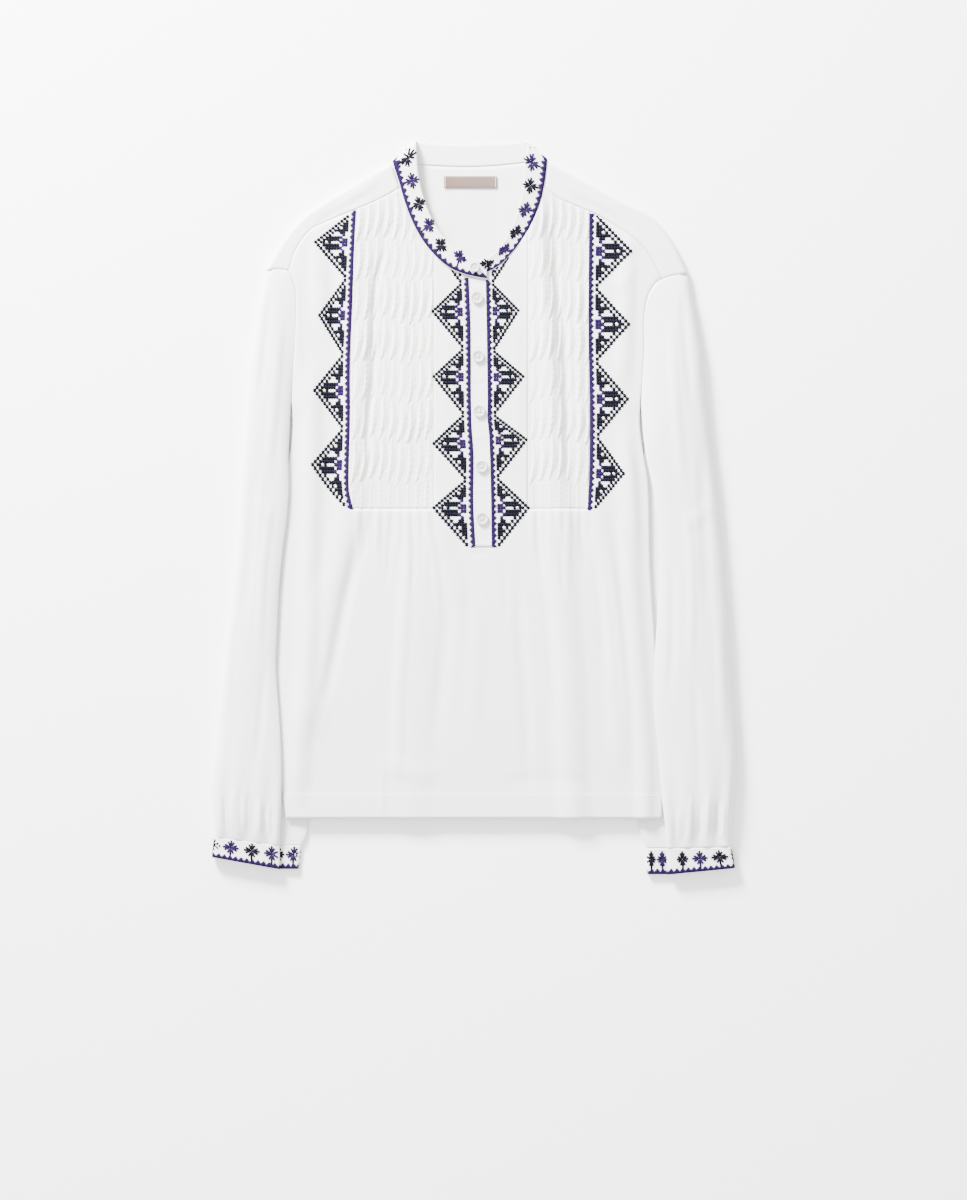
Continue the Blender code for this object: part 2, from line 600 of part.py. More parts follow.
def make_front():
    """One cloth from hem to shoulders, with two tucked inserts and a slit left out."""
    counts = [count for _, count in FRONT_BLOCKS]
    starts = [sum(counts[:n]) for n in range(len(counts) + 1)]
    spots = {}
    cells = set()
    for r, y in enumerate(FRONT_LOWER_Y):
        for c, spot in enumerate(front_row(y)):
            spots[c, r] = spot
    level = len(FRONT_LOWER_Y) - 1
    for r in range(level):
        for c in range(starts[-1]):
            slit = starts[3] <= c < starts[4] and r >= FRONT_LOWER_Y.index(PLACKET_END_Y)
            if not slit:
                cells.add((c, r))
    rows = len(side_edge(LEFT)) - 1
    blocks = [(0, lambda low: upper_block(LEFT, low)),
              (2, lambda low: strip_block("left", low, rows)),
              (4, lambda low: strip_block("right", low, rows)),
              (6, lambda low: upper_block(RIGHT, low))]
    for n, fill in blocks:
        low = [spots[c, level] for c in range(starts[n], starts[n + 1] + 1)]
        for r, row in enumerate(fill(low)):
            for c, spot in enumerate(row):
                if r > 0:
                    spots[starts[n] + c, level + r] = spot
                if r < rows and c < counts[n]:
                    cells.add((starts[n] + c, level + r))

    def over(x, y, c, r):
        step = HEM_STEP if r <= 1 else 0.0
        return lay(x, y) + WALL + gathers_at(x, y) + step

    def step(column):
        gathered = any(column in block for block in GATHERED_COLUMNS)
        return (2, 1) if gathered else (1, 1)

    return panel("front", spots, cells, lay, over, "cloth", step)


def tuck_shift(y):
    """Sideways swing of the wave tucks: out to the right, then back to the lower left."""
    if y < TUCK_ROW_END_Y:
        return 0.0
    phase = ((y - TUCK_ROW_END_Y) / TUCK_ROW) % 1.0
    swing = TUCK_WAVE * sin(2 * pi * (phase - TUCK_WAVE_START))
    return swing if phase < 0.5 else swing * TUCK_WAVE_BACK


def neck_line(side):
    """Collar base beside an insert, as rows of (x, y) from low to high, moved outward."""
    rows = COLLAR[NECK_LEFT] if side is LEFT else COLLAR[NECK_RIGHT][::-1]
    line = [(row[0], row[1]) for row in rows]
    return aside(line, NECK_GAP if side is LEFT else -NECK_GAP)


def insert_top(side, x):
    """Upper limit of a tucked insert: the yoke's seam, or the collar where that is lower."""
    seam = [(abs(p), q) for p, q in side["forward_seam"]]
    neck = [(abs(p), q) for p, q in neck_line(side)]
    limits = []
    for line in (sorted(seam), sorted(neck)):
        for (x0, y0), (x1, y1) in zip(line, line[1:]):
            if x0 <= abs(x) <= x1:
                limits.append(y0 + (y1 - y0) * (abs(x) - x0) / (x1 - x0))
    return min(limits) - SEAM_GAP


INSERT_TUCKS = {"left": 9, "right": 7}
INSERT_ROWS = 28
INSERT_LEVEL = 283.0         # top of an insert before it closes on the seam above it
TUCK_VALLEY = 0.15           # height between two tucks
TUCK_AT_SEAM = 0.4           # share of its height that a tuck keeps at a seam
INSERT_FOLLOWS_Y = 190.0     # below it the rows are level, above it they close on the top


def make_insert(name, side, inner_x):
    """Tucked insert: tucks raised in its upper points over a plain underside."""
    tucks = INSERT_TUCKS[name]
    columns = 2 * tucks
    spots = {}
    for c in range(columns + 1):
        for r in range(INSERT_ROWS + 1):
            y = SEAM_GAP + (INSERT_LEVEL - SEAM_GAP) * r / INSERT_ROWS
            outer_x = band_x(side, y) - side["sign"] * SEAM_GAP / 2
            inner = inner_x + side["sign"] * SEAM_GAP
            left, right = sorted((outer_x, inner))
            x = left + (right - left) * c / columns
            high = insert_top(side, x)
            swing = 0.0 if c in (0, columns) else 0.5 if c in (1, columns - 1) else 1.0
            if y > INSERT_FOLLOWS_Y:
                share = (y - INSERT_FOLLOWS_Y) / (INSERT_LEVEL - INSERT_FOLLOWS_Y)
                y = INSERT_FOLLOWS_Y + (high - INSERT_FOLLOWS_Y) * share
                swing *= 1.0 - share
            spots[c, r] = (x + swing * tuck_shift(y), y)
    cells = {(c, r) for c in range(columns) for r in range(INSERT_ROWS)}

    def over(x, y, c, r):
        raised = TUCK_HEIGHT if c % 2 == 1 else TUCK_VALLEY
        return lay(x, y) + WALL + raised * (1.0 if 0 < r < INSERT_ROWS else TUCK_AT_SEAM)

    return panel(f"insert_{name}", spots, cells, lay, over, "tucks", lambda column: (2, 2))


def make_placket():
    """Upper button strip, and the plain strip below it that carries the buttons."""
    for name, rise, inset, top_drop in (
            ("placket", PLACKET_RISE, SEAM_GAP, 0.0),
            ("underlap", UNDERLAP_RISE, UNDERLAP_INSET, UNDERLAP_DROP)):
        spots = {}
        for r in range(STRIP_ROWS + 1):
            for c in range(3):
                share = c / 2
                top_y = (PLACKET_TOP_Y["left"] * (1 - share) + PLACKET_TOP_Y["right"] * share
                         - SEAM_GAP - top_drop)
                low_y = PLACKET_END_Y + SEAM_GAP
                y = low_y + (top_y - low_y) * r / STRIP_ROWS
                left = placket_x("left", y) + inset
                right = placket_x("right", y) - inset
                spots[c, r] = (left + (right - left) * share, y)
        cells = {(c, r) for c in range(2) for r in range(STRIP_ROWS)}

        def under(x, y, rise=rise):
            return lay(x, y) + rise

        def over(x, y, c, r, rise=rise):
            return lay(x, y) + rise + WALL

        panel(name, spots, cells, under, over, "trim", lambda column: (2, 1))


BACK_ROWS_Y = [HEM_Y + 0.4, -271.0, -225.0, -175.0, -125.0, -75.0, -30.0, 5.0, 25.0, 42.0, 60.0,
               80.0]
BACK_SHARES = [0.0, 0.02, 0.045, 0.075, 0.11, 0.17, 0.26, 0.38, 0.46, 0.54, 0.62, 0.74, 0.83,
               0.89, 0.925, 0.955, 0.98, 1.0]


def make_back():
    """Back from the yoke's seam to the hem, raised over the tucked sleeves."""
    edges = {}
    for name, side in SIDES:
        edge = [(side["sign"] * curve_at(side["body_edge"], y), y) for y in BACK_ROWS_Y]
        hole = body_hole(side, ARMHOLE_GAP)[4:][::-1]
        edges[name] = edge + hole[:-1] + [(hole[-1][0], BACK_SEAM_Y - SEAM_GAP)]
    rows = len(edges["left"]) - 1
    spots = {}
    for r in range(rows + 1):
        for c, share in enumerate(BACK_SHARES):
            x, y = between(edges["left"][r], edges["right"][r], share)
            side = LEFT if x < 0 else RIGHT
            inside = abs(x) - curve_at(side["tuck_edge"], y) + TUCK_CLEAR
            lift = (TUCKED_LIFT * ease(inside / TUCK_SLOPE)
                    * ease((UNDERARM_Y - y) / UNDERARM_FADE))
            spots[c, r] = (x, y, WALL / 2 + lift)
    return sheet("back", spots, grid_cells(len(BACK_SHARES) - 1, rows), WALL, "cloth")


YOKE_BACK_HALF = 62.0       # half of the back seam that lies below the neck
YOKE_BACK_ROWS = 3
YOKE_FLAP_ROWS = 3


def yoke_side(side):
    """Columns of one half of the yoke, from neck to armhole: points from the back seam, over
    the shoulder, to the forward seam."""
    hole = body_hole(side, SHOULDER_GAP)
    shoulder = signed(side, side["shoulder"])[:-1] + [hole[0]]
    seam = signed(side, side["forward_seam"])[:-1] + [hole[3]]
    columns = len(shoulder) - 1
    back_end = (hole[4][0], BACK_SEAM_Y)
    back_neck = side["sign"] * YOKE_BACK_HALF
    result = []
    for c in range(columns + 1):
        share = c / columns
        crest = shoulder[c]
        low = (back_neck + (back_end[0] - back_neck) * share, BACK_SEAM_Y)
        if c == columns:
            back = [back_end, hole[3], hole[2]]
        else:
            back = [between(low, crest, r / YOKE_BACK_ROWS) for r in range(YOKE_BACK_ROWS)]
        flap = [between(crest, seam[c], (r + 1) / YOKE_FLAP_ROWS)
                for r in range(YOKE_FLAP_ROWS)]
        if c == columns:
            flap = [hole[1], hole[2], hole[3]]
        inward = between(crest, seam[c], SHOULDER_ROUND / hypot(crest[0] - seam[c][0],
                                                               crest[1] - seam[c][1]))
        turn = []
        for step in range(SHOULDER_STEPS + 1):
            angle = pi * step / SHOULDER_STEPS
            across = between(inward, crest, sin(angle))
            height = LAY / 2 + WALL / 2 - (LAY / 2) * cos(angle)
            turn.append((across[0], across[1], height))
        column = [(x, y, WALL / 2) for x, y in back] + turn
        column += [(x, y, lay(x, y) + WALL / 2) for x, y in flap]
        result.append(column)
    return result


def make_yoke():
    """Back yoke that wraps over both shoulders to the seams on the front."""
    neck = [(row[0], row[1]) for row in COLLAR[13:20]]
    left = yoke_side(LEFT)
    right = yoke_side(RIGHT)
    columns = left[::-1]
    for x, y in neck[1:-1]:
        share = (x - neck[0][0]) / (neck[-1][0] - neck[0][0])
        low_x = YOKE_BACK_HALF * (2.0 * share - 1.0)
        top = (x, y - SEAM_GAP)
        column = [between((low_x, BACK_SEAM_Y), top, r / YOKE_BACK_ROWS) + (WALL / 2,)
                  for r in range(YOKE_BACK_ROWS + 1)]
        columns.append(column)
    columns += right
    spots = {}
    cells = []
    for c, column in enumerate(columns):
        for r, spot in enumerate(column):
            spots[c, r] = spot
    for c, (one, two) in enumerate(zip(columns, columns[1:])):
        for r in range(min(len(one), len(two)) - 1):
            cells.append(((c, r), (c + 1, r), (c + 1, r + 1), (c, r + 1)))
    return sheet("yoke", spots, cells, WALL, "cloth")


def make_collar():
    """Narrow stand collar pressed flat, its left end over its right end."""
    rows = 3
    spots = {}
    for c, (x0, y0, x1, y1, z0, z1) in enumerate(COLLAR):
        for r in range(rows + 1):
            share = r / rows
            spots[c, r] = (x0 + (x1 - x0) * share, y0 + (y1 - y0) * share,
                           z0 + (z1 - z0) * share)
    return sheet("collar", spots, grid_cells(len(COLLAR) - 1, rows), WALL, "trim")


def ring_point(side, row, outer, inner, tuck, pleat, full, seam_share, gather):
    """One point of a sleeve's or cuff's ring. outer, inner: (out, up); tuck: out."""
    hole_place, share, pleat_part, tuck_part, z_seam, z_tube, z_pleat = row
    out, up = between(outer, inner, share)
    body = curve_at(side["body_edge"], inner[1]) + BODY_TO_PLEAT
    depth = max(PLEAT_MIN_DEPTH, body - inner[0])
    out += pleat * (pleat_part * depth - tuck_part * (inner[0] - tuck))
    hole = along(side["armhole"], hole_place)
    out, up = between((out, up), hole, seam_share)
    height = z_tube + (z_pleat - z_tube) * min(1.0, PLEAT_OPENS * pleat)
    height = z_seam + (height - z_seam) * full
    return side["sign"] * out, up, height + gather


def ring(side, outer, inner, tuck, pleat, full, seam_share, gather):
    points = []
    closed = min(1.0, PLEAT_FLAT + PLEAT_GROWS * full)
    for n, row in enumerate(SLEEVE_RING):
        wave = gather * GATHER_HEIGHT * (-1) ** n if n in GATHER_ROWS else 0.0
        raised = full if n in TOP_ROWS else 1.0 - seam_share
        x, y, z = ring_point(side, row, outer, inner, tuck, pleat, raised, seam_share, wave)
        if n in PLEAT_ROWS and pleat == 1.0:
            z = TUCK_HEIGHT_LEVEL + (z - TUCK_HEIGHT_LEVEL) * closed
        points.append((x, y, z))
    return points


def make_sleeve(name, side):
    """Sleeve from the armhole to its cuff."""
    rings = []
    for up_outer, up_inner, full, seam_share, gather in SLEEVE_STATIONS:
        outer = (curve_at(side["outer_edge"], up_outer), up_outer)
        inner = (curve_at(side["inner_edge"], up_inner), up_inner)
        if seam_share == 1.0:
            outer = side["armhole"][0]
            inner = side["armhole"][-1]
        pleat = ease((PLEAT_START_Y - up_inner) / (PLEAT_START_Y - PLEAT_FULL_Y))
        tuck = curve_at(side["tuck_edge"], up_inner)
        rings.append(ring(side, outer, inner, tuck, pleat, full, seam_share, gather))
    out, up, inner_out, inner_up, tuck = side["cuff"][0]
    full, gather = CUFF_LINE
    rings.append(ring(side, (out, up + CUFF_GAP), (inner_out, inner_up + CUFF_GAP), tuck, 1.0,
                      full, 0.0, gather))
    spots = {(c, r): spot for r, points in enumerate(rings) for c, spot in enumerate(points)}
    cells = grid_cells(len(SLEEVE_RING), len(rings) - 1, around=True)
    return sheet(f"sleeve_{name}", spots, cells, SLEEVE_WALL, "cloth")


def make_cuff(name, side):
    """Buttonless band at the wrist, folded like the sleeve."""
    rings = []
    for out, up, inner_out, inner_up, tuck in side["cuff"]:
        rings.append(ring(side, (out, up), (inner_out, inner_up), tuck, 1.0, CUFF_LINE[0],
                          0.0, 0.0))
    spots = {(c, r): spot for r, points in enumerate(rings) for c, spot in enumerate(points)}
    cells = grid_cells(len(SLEEVE_RING), len(rings) - 1, around=True)
    return sheet(f"cuff_{name}", spots, cells, WALL, "trim")


def make_button(name, x, y, z, radius):
    """Round shirt button with a raised rim and a dished middle."""
    work = bmesh.new()
    rings = []
    for reach, share in BUTTON_OUTLINE:
        height = z + BUTTON_HEIGHT * share
        if reach == 0.0:
            rings.append([work.verts.new((x, y, height))])
            continue
        rings.append([work.verts.new((x + reach * radius * cos(2 * pi * n / BUTTON_SIDES),
                                      y + reach * radius * sin(2 * pi * n / BUTTON_SIDES),
                                      height)) for n in range(BUTTON_SIDES)])
    for low, high in zip(rings, rings[1:]):
        for n in range(BUTTON_SIDES):
            after = (n + 1) % BUTTON_SIDES
            corners = [low[n % len(low)], low[after % len(low)],
                       high[after % len(high)], high[n % len(high)]]
            work.faces.new(list(dict.fromkeys(corners)))
    return place(name, work, "button")


def make_buttons():
    for n, (x, y) in enumerate(BUTTONS, start=1):
        reach = (-BUTTON_RADIUS, 0.0, BUTTON_RADIUS)
        top = max(lay(x + dx, y + dy) for dx in reach for dy in reach)
        base = top + PLACKET_RISE + WALL + REST_GAP
        make_button(f"button_{n}", x, y, base, BUTTON_RADIUS)
    x, y = COLLAR_BUTTON
    make_button("button_collar", x, y, COLLAR_BUTTON_Z, COLLAR_BUTTON_RADIUS)


def make_label():
    """Bare woven label inside the back of the neck."""
    x0, x1, y0, y1 = LABEL_BOX
    z0 = WALL + REST_GAP
    work = bmesh.new()
    bmesh.ops.create_cube(work, size=1.0)
    bmesh.ops.scale(work, vec=(x1 - x0, y1 - y0, LABEL_HEIGHT), verts=work.verts)
    bmesh.ops.translate(work, vec=((x0 + x1) / 2, (y0 + y1) / 2, z0 + LABEL_HEIGHT / 2),
                        verts=work.verts)
    return place("label", work, "label", smooth=False)


def main():
    for old in list(bpy.data.objects):
        bpy.data.objects.remove(old, do_unlink=True)
    make_back()
    make_yoke()
    make_front()
    make_insert("left", LEFT, STRIP_LEFT_X)
    make_insert("right", RIGHT, STRIP_RIGHT_X)
    make_placket()
    make_collar()
    for name, side in SIDES:
        make_sleeve(name, side)
        make_cuff(name, side)
    make_buttons()
    make_label()


main()
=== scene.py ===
# %% [markdown]
# The object is an embroidered blouse that lies flat on its back on a table. Its cloth was cut in
# pieces and sewn: a front with two tucked inserts and a button placket, a yoke that wraps over the
# shoulders, a back, two sleeves with cuffs and a narrow collar. Each piece gets its own mesh here.
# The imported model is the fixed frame: every new piece stays where its plain solid is.

import bmesh
import bpy
import numpy as np
from math import cos, pi, sin
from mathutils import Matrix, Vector
from mathutils.bvhtree import BVHTree


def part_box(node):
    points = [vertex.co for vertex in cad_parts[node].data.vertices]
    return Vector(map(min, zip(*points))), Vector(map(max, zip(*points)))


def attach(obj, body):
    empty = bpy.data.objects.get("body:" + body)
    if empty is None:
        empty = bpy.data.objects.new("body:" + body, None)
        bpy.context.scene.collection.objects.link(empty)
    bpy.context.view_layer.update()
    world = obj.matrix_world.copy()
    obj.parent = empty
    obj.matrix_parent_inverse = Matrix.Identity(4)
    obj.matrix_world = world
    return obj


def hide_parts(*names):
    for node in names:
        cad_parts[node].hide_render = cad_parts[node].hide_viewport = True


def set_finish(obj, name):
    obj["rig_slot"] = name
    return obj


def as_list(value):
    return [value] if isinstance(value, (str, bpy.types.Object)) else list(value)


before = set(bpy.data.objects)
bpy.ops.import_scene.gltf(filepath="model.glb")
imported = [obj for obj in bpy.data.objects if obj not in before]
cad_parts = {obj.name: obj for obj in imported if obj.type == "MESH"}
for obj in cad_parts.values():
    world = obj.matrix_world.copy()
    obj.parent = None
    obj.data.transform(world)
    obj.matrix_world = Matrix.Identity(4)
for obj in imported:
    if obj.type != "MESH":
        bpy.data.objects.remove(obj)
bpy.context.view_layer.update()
MM = 0.001

# %% [markdown]
# Cloth pieces meet at seams, so the outlines are kept in one place and every piece is made from
# them. All tables are in millimetres. On one side of the garment a point is (out, up): out is the
# distance from the middle line, up runs from the hem to the collar. The numbers are the outlines of
# the real blouse, read off at its seams.

# %% Outlines of the left and the right side
LEFT = {
    "sign": -1,
    "armhole": [(196.6, 226.5), (190.0, 226.8), (183.0, 226.5), (176.0, 224.6), (170.0, 212.0),
                (168.6, 195.0), (168.8, 175.0), (170.2, 148.0), (172.0, 124.0), (173.8, 103.5)],
    "shoulder": [(78.8, 327.2), (90.2, 320.8), (104.5, 312.9), (118.8, 303.9), (132.7, 295.8),
                 (146.9, 287.0), (163.7, 274.6), (182.4, 251.3), (196.6, 226.5)],
    "forward_seam": [(70.9, 303.9), (80.0, 298.3), (95.0, 290.8), (113.2, 283.0),
                     (128.0, 277.2), (142.0, 271.0), (155.0, 264.4), (168.0, 247.5),
                     (176.0, 224.6)],
    "band_line": [(119.5, 0.0), (113.2, 283.0)],
    "outer_edge": [(226.5, 196.6), (201.4, 201.4), (180.5, 205.2), (141.6, 210.0),
                   (105.5, 213.3), (32.3, 218.5), (-11.4, 221.4), (-64.6, 226.1),
                   (-109.0, 230.9), (-165.0, 237.5), (-212.8, 242.3), (-239.0, 246.0),
                   (-266.0, 248.0), (-284.0, 247.0), (-310.6, 245.4)],
    "inner_edge": [(103.5, 173.8), (56.0, 176.1), (8.5, 176.2), (-47.5, 182.4),
                   (-82.7, 185.3), (-127.3, 187.2), (-151.0, 188.0), (-204.0, 184.3),
                   (-249.0, 182.6), (-292.6, 183.4), (-319.0, 184.5)],
    "body_edge": [(103.5, 171.0), (80.0, 171.6), (60.0, 173.0), (40.0, 176.5), (20.0, 180.0),
                  (-50.0, 183.0), (-100.0, 188.0), (-150.0, 190.0), (-200.0, 189.0),
                  (-250.0, 184.0), (-293.6, 178.0)],
    "tuck_edge": [(20.0, 158.0), (-100.0, 156.0), (-250.0, 155.0), (-294.0, 156.8),
                  (-310.0, 158.7), (-323.0, 163.7)],
    "cuff": [(245.4, -311.2, 184.8, -319.4, 163.9),
             (246.8, -321.3, 184.6, -331.2, 165.4),
             (248.0, -331.0, 184.5, -342.7, 166.9)],
}
RIGHT = {
    "sign": 1,
    "armhole": [(202.3, 222.9), (195.0, 221.8), (187.0, 220.2), (179.0, 217.6), (171.0, 212.0),
                (164.2, 199.0), (161.2, 177.0), (161.4, 152.0), (160.0, 126.0), (158.7, 103.5)],
    "shoulder": [(70.6, 329.2), (84.8, 321.5), (98.0, 314.0), (111.4, 306.6), (124.5, 299.4),
                 (138.0, 292.2), (168.2, 277.0), (187.6, 253.1), (202.3, 222.9)],
    "forward_seam": [(67.6, 304.2), (79.5, 294.5), (94.0, 287.9), (110.6, 281.2),
                     (124.0, 274.3), (138.0, 266.0), (151.0, 256.5), (166.0, 241.0),
                     (179.0, 217.6)],
    "band_line": [(109.6, 0.0), (110.6, 281.2)],
    "outer_edge": [(222.9, 202.3), (209.0, 204.4), (182.4, 209.0), (146.3, 214.7),
                   (103.5, 218.5), (68.4, 222.3), (32.3, 227.0), (-2.9, 230.9),
                   (-47.5, 234.7), (-91.2, 238.5), (-134.0, 241.8), (-177.7, 244.2),
                   (-212.8, 247.0), (-248.9, 248.0), (-275.5, 246.0), (-320.5, 243.0)],
    "inner_edge": [(103.5, 158.7), (94.0, 158.9), (56.0, 162.4), (8.5, 171.9), (-39.0, 175.8),
                   (-86.5, 174.8), (-134.0, 171.9), (-181.4, 170.3), (-228.9, 174.6),
                   (-266.9, 177.4), (-290.7, 180.4), (-321.5, 183.0)],
    "body_edge": [(103.5, 156.0), (80.0, 157.0), (60.0, 159.2), (40.0, 162.5), (20.0, 165.6),
                  (-50.0, 167.0), (-100.0, 170.0), (-150.0, 174.0), (-200.0, 178.0),
                  (-250.0, 180.0), (-293.6, 178.5)],
    "tuck_edge": [(20.0, 146.0), (-100.0, 150.0), (-250.0, 156.0), (-296.0, 156.0),
                  (-304.0, 156.8), (-323.0, 162.6)],
    "cuff": [(243.2, -321.0, 183.0, -322.2, 163.7),
             (245.2, -331.6, 183.4, -335.4, 164.0),
             (247.0, -341.5, 184.0, -347.8, 164.6)],
}

SIDES = (("left", LEFT), ("right", RIGHT))

# %% Levels and gaps
WALL = 1.3                  # wall of the plain solids, whose middle the new cloth follows
CLOTH = 0.7                 # thickness of the new cloth
COLLAR_CLOTH = 0.9          # thickness of the doubled cloth of the collar
CUFF_CLOTH = 0.95           # and of the cuffs
UPPER_Z = 6.0               # cloth above this height is an upper layer
SEAM_GAP = 0.06
ARMHOLE_GAP = 0.1
SHOULDER_GAP = 0.15
NECK_GAP = 0.1
CUFF_GAP = 0.1
LAY = 7.0
EDGE_LAY = 5.75
TUCKED_LIFT = 4.0
HEM_Y = -293.6
HEM_DEPTH = 23.0
PLACKET_END_Y = -36.0
BACK_SEAM_Y = 212.0
UNDERARM_Y = 103.5
PLEAT_START_Y = 60.0
PLEAT_FULL_Y = 20.0
BODY_TO_PLEAT = 3.0
PLEAT_MIN_DEPTH = 3.0
SHOULDER_ROUND = 3.5

# %% [markdown]
# A few small helpers do all the drawing. A smooth curve goes through the rows of a table, a bump is
# one soft ridge seen in section, and a patch fills the area between four curves with rows of
# points. They work on whole arrays of points at a time, which is quick even for fine cloth.

# %% Helpers for curves and patches
def ease(share):
    share = np.clip(share, 0.0, 1.0)
    return share * share * (3.0 - 2.0 * share)


def bump(distance, half_width):
    share = np.minimum(np.abs(distance) / half_width, 1.0)
    return (1.0 - share * share) ** 2


def hermite(keys, values, at):
    """Smooth curve through values at rising keys, read at the places in at."""
    keys = np.asarray(keys, float)
    values = np.asarray(values, float)
    rise = values[1:] - values[:-1]
    run = (keys[1:] - keys[:-1]).reshape((-1,) + (1,) * (values.ndim - 1))
    slopes = np.concatenate([rise[:1] / run[:1], (rise[1:] + rise[:-1]) / (run[1:] + run[:-1]),
                             rise[-1:] / run[-1:]])
    k = np.clip(np.searchsorted(keys, at, side="right") - 1, 0, len(keys) - 2)
    span = run[k]
    t = ((at - keys[k]) / (keys[k + 1] - keys[k])).reshape(span.shape)
    return ((2 * t**3 - 3 * t**2 + 1) * values[k] + (t**3 - 2 * t**2 + t) * span * slopes[k]
            + (3 * t**2 - 2 * t**3) * values[k + 1] + (t**3 - t**2) * span * slopes[k + 1])


def curve(rows):
    """Function that gives the value of a table of (key, value) rows at any key."""
    rows = sorted(rows)
    keys = [row[0] for row in rows]
    dense = np.linspace(keys[0], keys[-1], 600)
    values = hermite(keys, [row[1] for row in rows], dense)
    return lambda key: np.interp(key, dense, values)


def step_lengths(points):
    return np.linalg.norm(np.diff(np.asarray(points), axis=0), axis=1)


def distances(points):
    """Distance of each point of a line from its start, along the line."""
    return np.concatenate([[0.0], np.cumsum(step_lengths(points))])


def between(keys, count):
    """Each key but the last, followed by the places that make count even steps to the next one."""
    return np.concatenate([np.linspace(a, b, count + 1)[:-1] for a, b in zip(keys, keys[1:])])


def dense_line(points, count):
    """count + 1 points at even distances on a smooth line through points."""
    points = np.asarray(points, float)
    keys = distances(points)
    fine = hermite(keys, points, np.linspace(0.0, keys[-1], 40 * len(points)))
    gone = distances(fine)
    even = np.linspace(0.0, gone[-1], count + 1)
    return np.stack([np.interp(even, gone, fine[:, k]) for k in range(points.shape[1])], axis=1)


def aside(points, distance):
    """The line moved to its left by distance."""
    points = np.asarray(points, float)
    run = np.gradient(points, axis=0)
    run /= np.linalg.norm(run, axis=1)[:, None]
    return points + distance * np.stack([-run[:, 1], run[:, 0]], axis=1)


def patch(bottom, top, left, right):
    """Points [row, column] that fill the area between four lines of points."""
    bottom, top, left, right = (np.asarray(line, float) for line in (bottom, top, left, right))
    u = np.linspace(0.0, 1.0, len(bottom))[None, :, None]
    v = np.linspace(0.0, 1.0, len(left))[:, None, None]
    sides = (1 - u) * left[:, None] + u * right[:, None]
    ends = (1 - v) * bottom[None] + v * top[None]
    corners = ((1 - u) * (1 - v) * bottom[0] + u * (1 - v) * bottom[-1]
               + (1 - u) * v * top[0] + u * v * top[-1])
    return sides + ends - corners


def signed(side, points):
    return [(side["sign"] * out, up) for out, up in points]


for _, side in SIDES:
    for name in ("outer_edge", "inner_edge", "body_edge", "tuck_edge"):
        side[name + "_at"] = curve(side[name])
hem_width = float(LEFT["body_edge_at"](HEM_Y) + RIGHT["body_edge_at"](HEM_Y))
print("body is", round(hem_width), "mm wide at the hem")

# %% [markdown]
# The front layer is not flat. Long folds run down it where the cloth is fuller, it slopes down to
# the side seams, and under the tucked inserts it springs out in short gathers. All of these are one
# height above the table, so that every piece that lies on the front can ask for it.

# %% Folds and gathers of the front layer
FOLDS = [
    (20.0, 3.0, [(290.0, -116.0), (200.0, -114.0), (100.0, -114.0), (0.0, -118.0),
                 (-47.0, -128.0), (-91.0, -141.0), (-150.0, -148.0), (-230.0, -158.0)]),
    (15.0, 3.2, [(150.0, -154.0), (60.0, -155.0), (0.0, -156.0), (-74.0, -158.0),
                 (-134.0, -160.0), (-196.0, -164.0), (-290.0, -168.0)]),
    (24.0, 1.4, [(20.0, -50.0), (-74.0, -52.0), (-127.0, -55.0), (-213.0, -57.0),
                 (-360.0, -60.0)]),
    (13.0, 1.4, [(30.0, -30.0), (-38.0, -27.0), (-74.0, -21.0), (-140.0, -14.0)]),
    (20.0, 3.6, [(320.0, 56.0), (255.0, 61.0), (198.0, 66.0), (103.0, 73.0), (27.0, 76.0),
                 (0.0, 79.0), (-56.0, 81.0), (-109.0, 85.0), (-162.0, 89.0), (-360.0, 96.0)]),
    (14.0, 2.0, [(30.0, 112.0), (-91.0, 127.0), (-162.0, 133.0), (-260.0, 141.0)]),
    (13.0, 2.8, [(90.0, 144.0), (0.0, 147.0), (-91.0, 151.0), (-178.0, 157.0),
                 (-249.0, 162.0), (-360.0, 163.0)]),
    (12.0, 2.2, [(275.0, 148.0), (200.0, 144.0), (100.0, 140.0)]),
    (11.0, 2.0, [(270.0, -148.0), (220.0, -146.0), (150.0, -142.0)]),
]

GATHERS = [
    (-110.0, 60.0, 1.3), (-100.7, 40.0, 1.1), (-91.4, 75.0, 1.4), (-82.1, 45.0, 1.1),
    (-72.8, 55.0, 1.2), (-63.5, 90.0, 1.5), (-54.2, 50.0, 1.2), (-44.9, 85.0, 1.4),
    (55.5, 60.0, 1.2), (63.9, 45.0, 1.3), (72.3, 80.0, 1.2), (80.7, 50.0, 1.4),
    (89.1, 95.0, 1.5), (97.5, 55.0, 1.2), (105.5, 40.0, 1.0),
]

FOLD_FADE = 45.0
GATHER_HALF = 4.4
SIDE_SLOPE = 16.0
UNDERARM_FADE = 20.0

fold_lines = [(half, crest, rows, curve(rows)) for half, crest, rows in FOLDS]


def lay(x, y):
    """Underside of the plain front layer."""
    height = np.zeros(np.shape(x))
    for half, crest, rows, line_at in fold_lines:
        ends = np.minimum(rows[0][0] - y, y - rows[-1][0]) / FOLD_FADE
        height = height + crest * ease(ends) * bump(x - line_at(y), half)
    edge = np.where(x < 0, LEFT["body_edge_at"](y), RIGHT["body_edge_at"](y))
    drop = (1.0 - ease((edge - np.abs(x)) / SIDE_SLOPE)) * ease((UNDERARM_Y - y) / UNDERARM_FADE)
    return (LAY + height) * (1.0 - drop) + EDGE_LAY * drop


def gathers_at(x, y):
    height = np.zeros(np.shape(x))
    for at, length, crest in GATHERS:
        ends = ease((y + length) / length) * ease((0.5 - y) / 3.0)
        height = height + crest * ends * bump(x - at, GATHER_HALF)
    return height


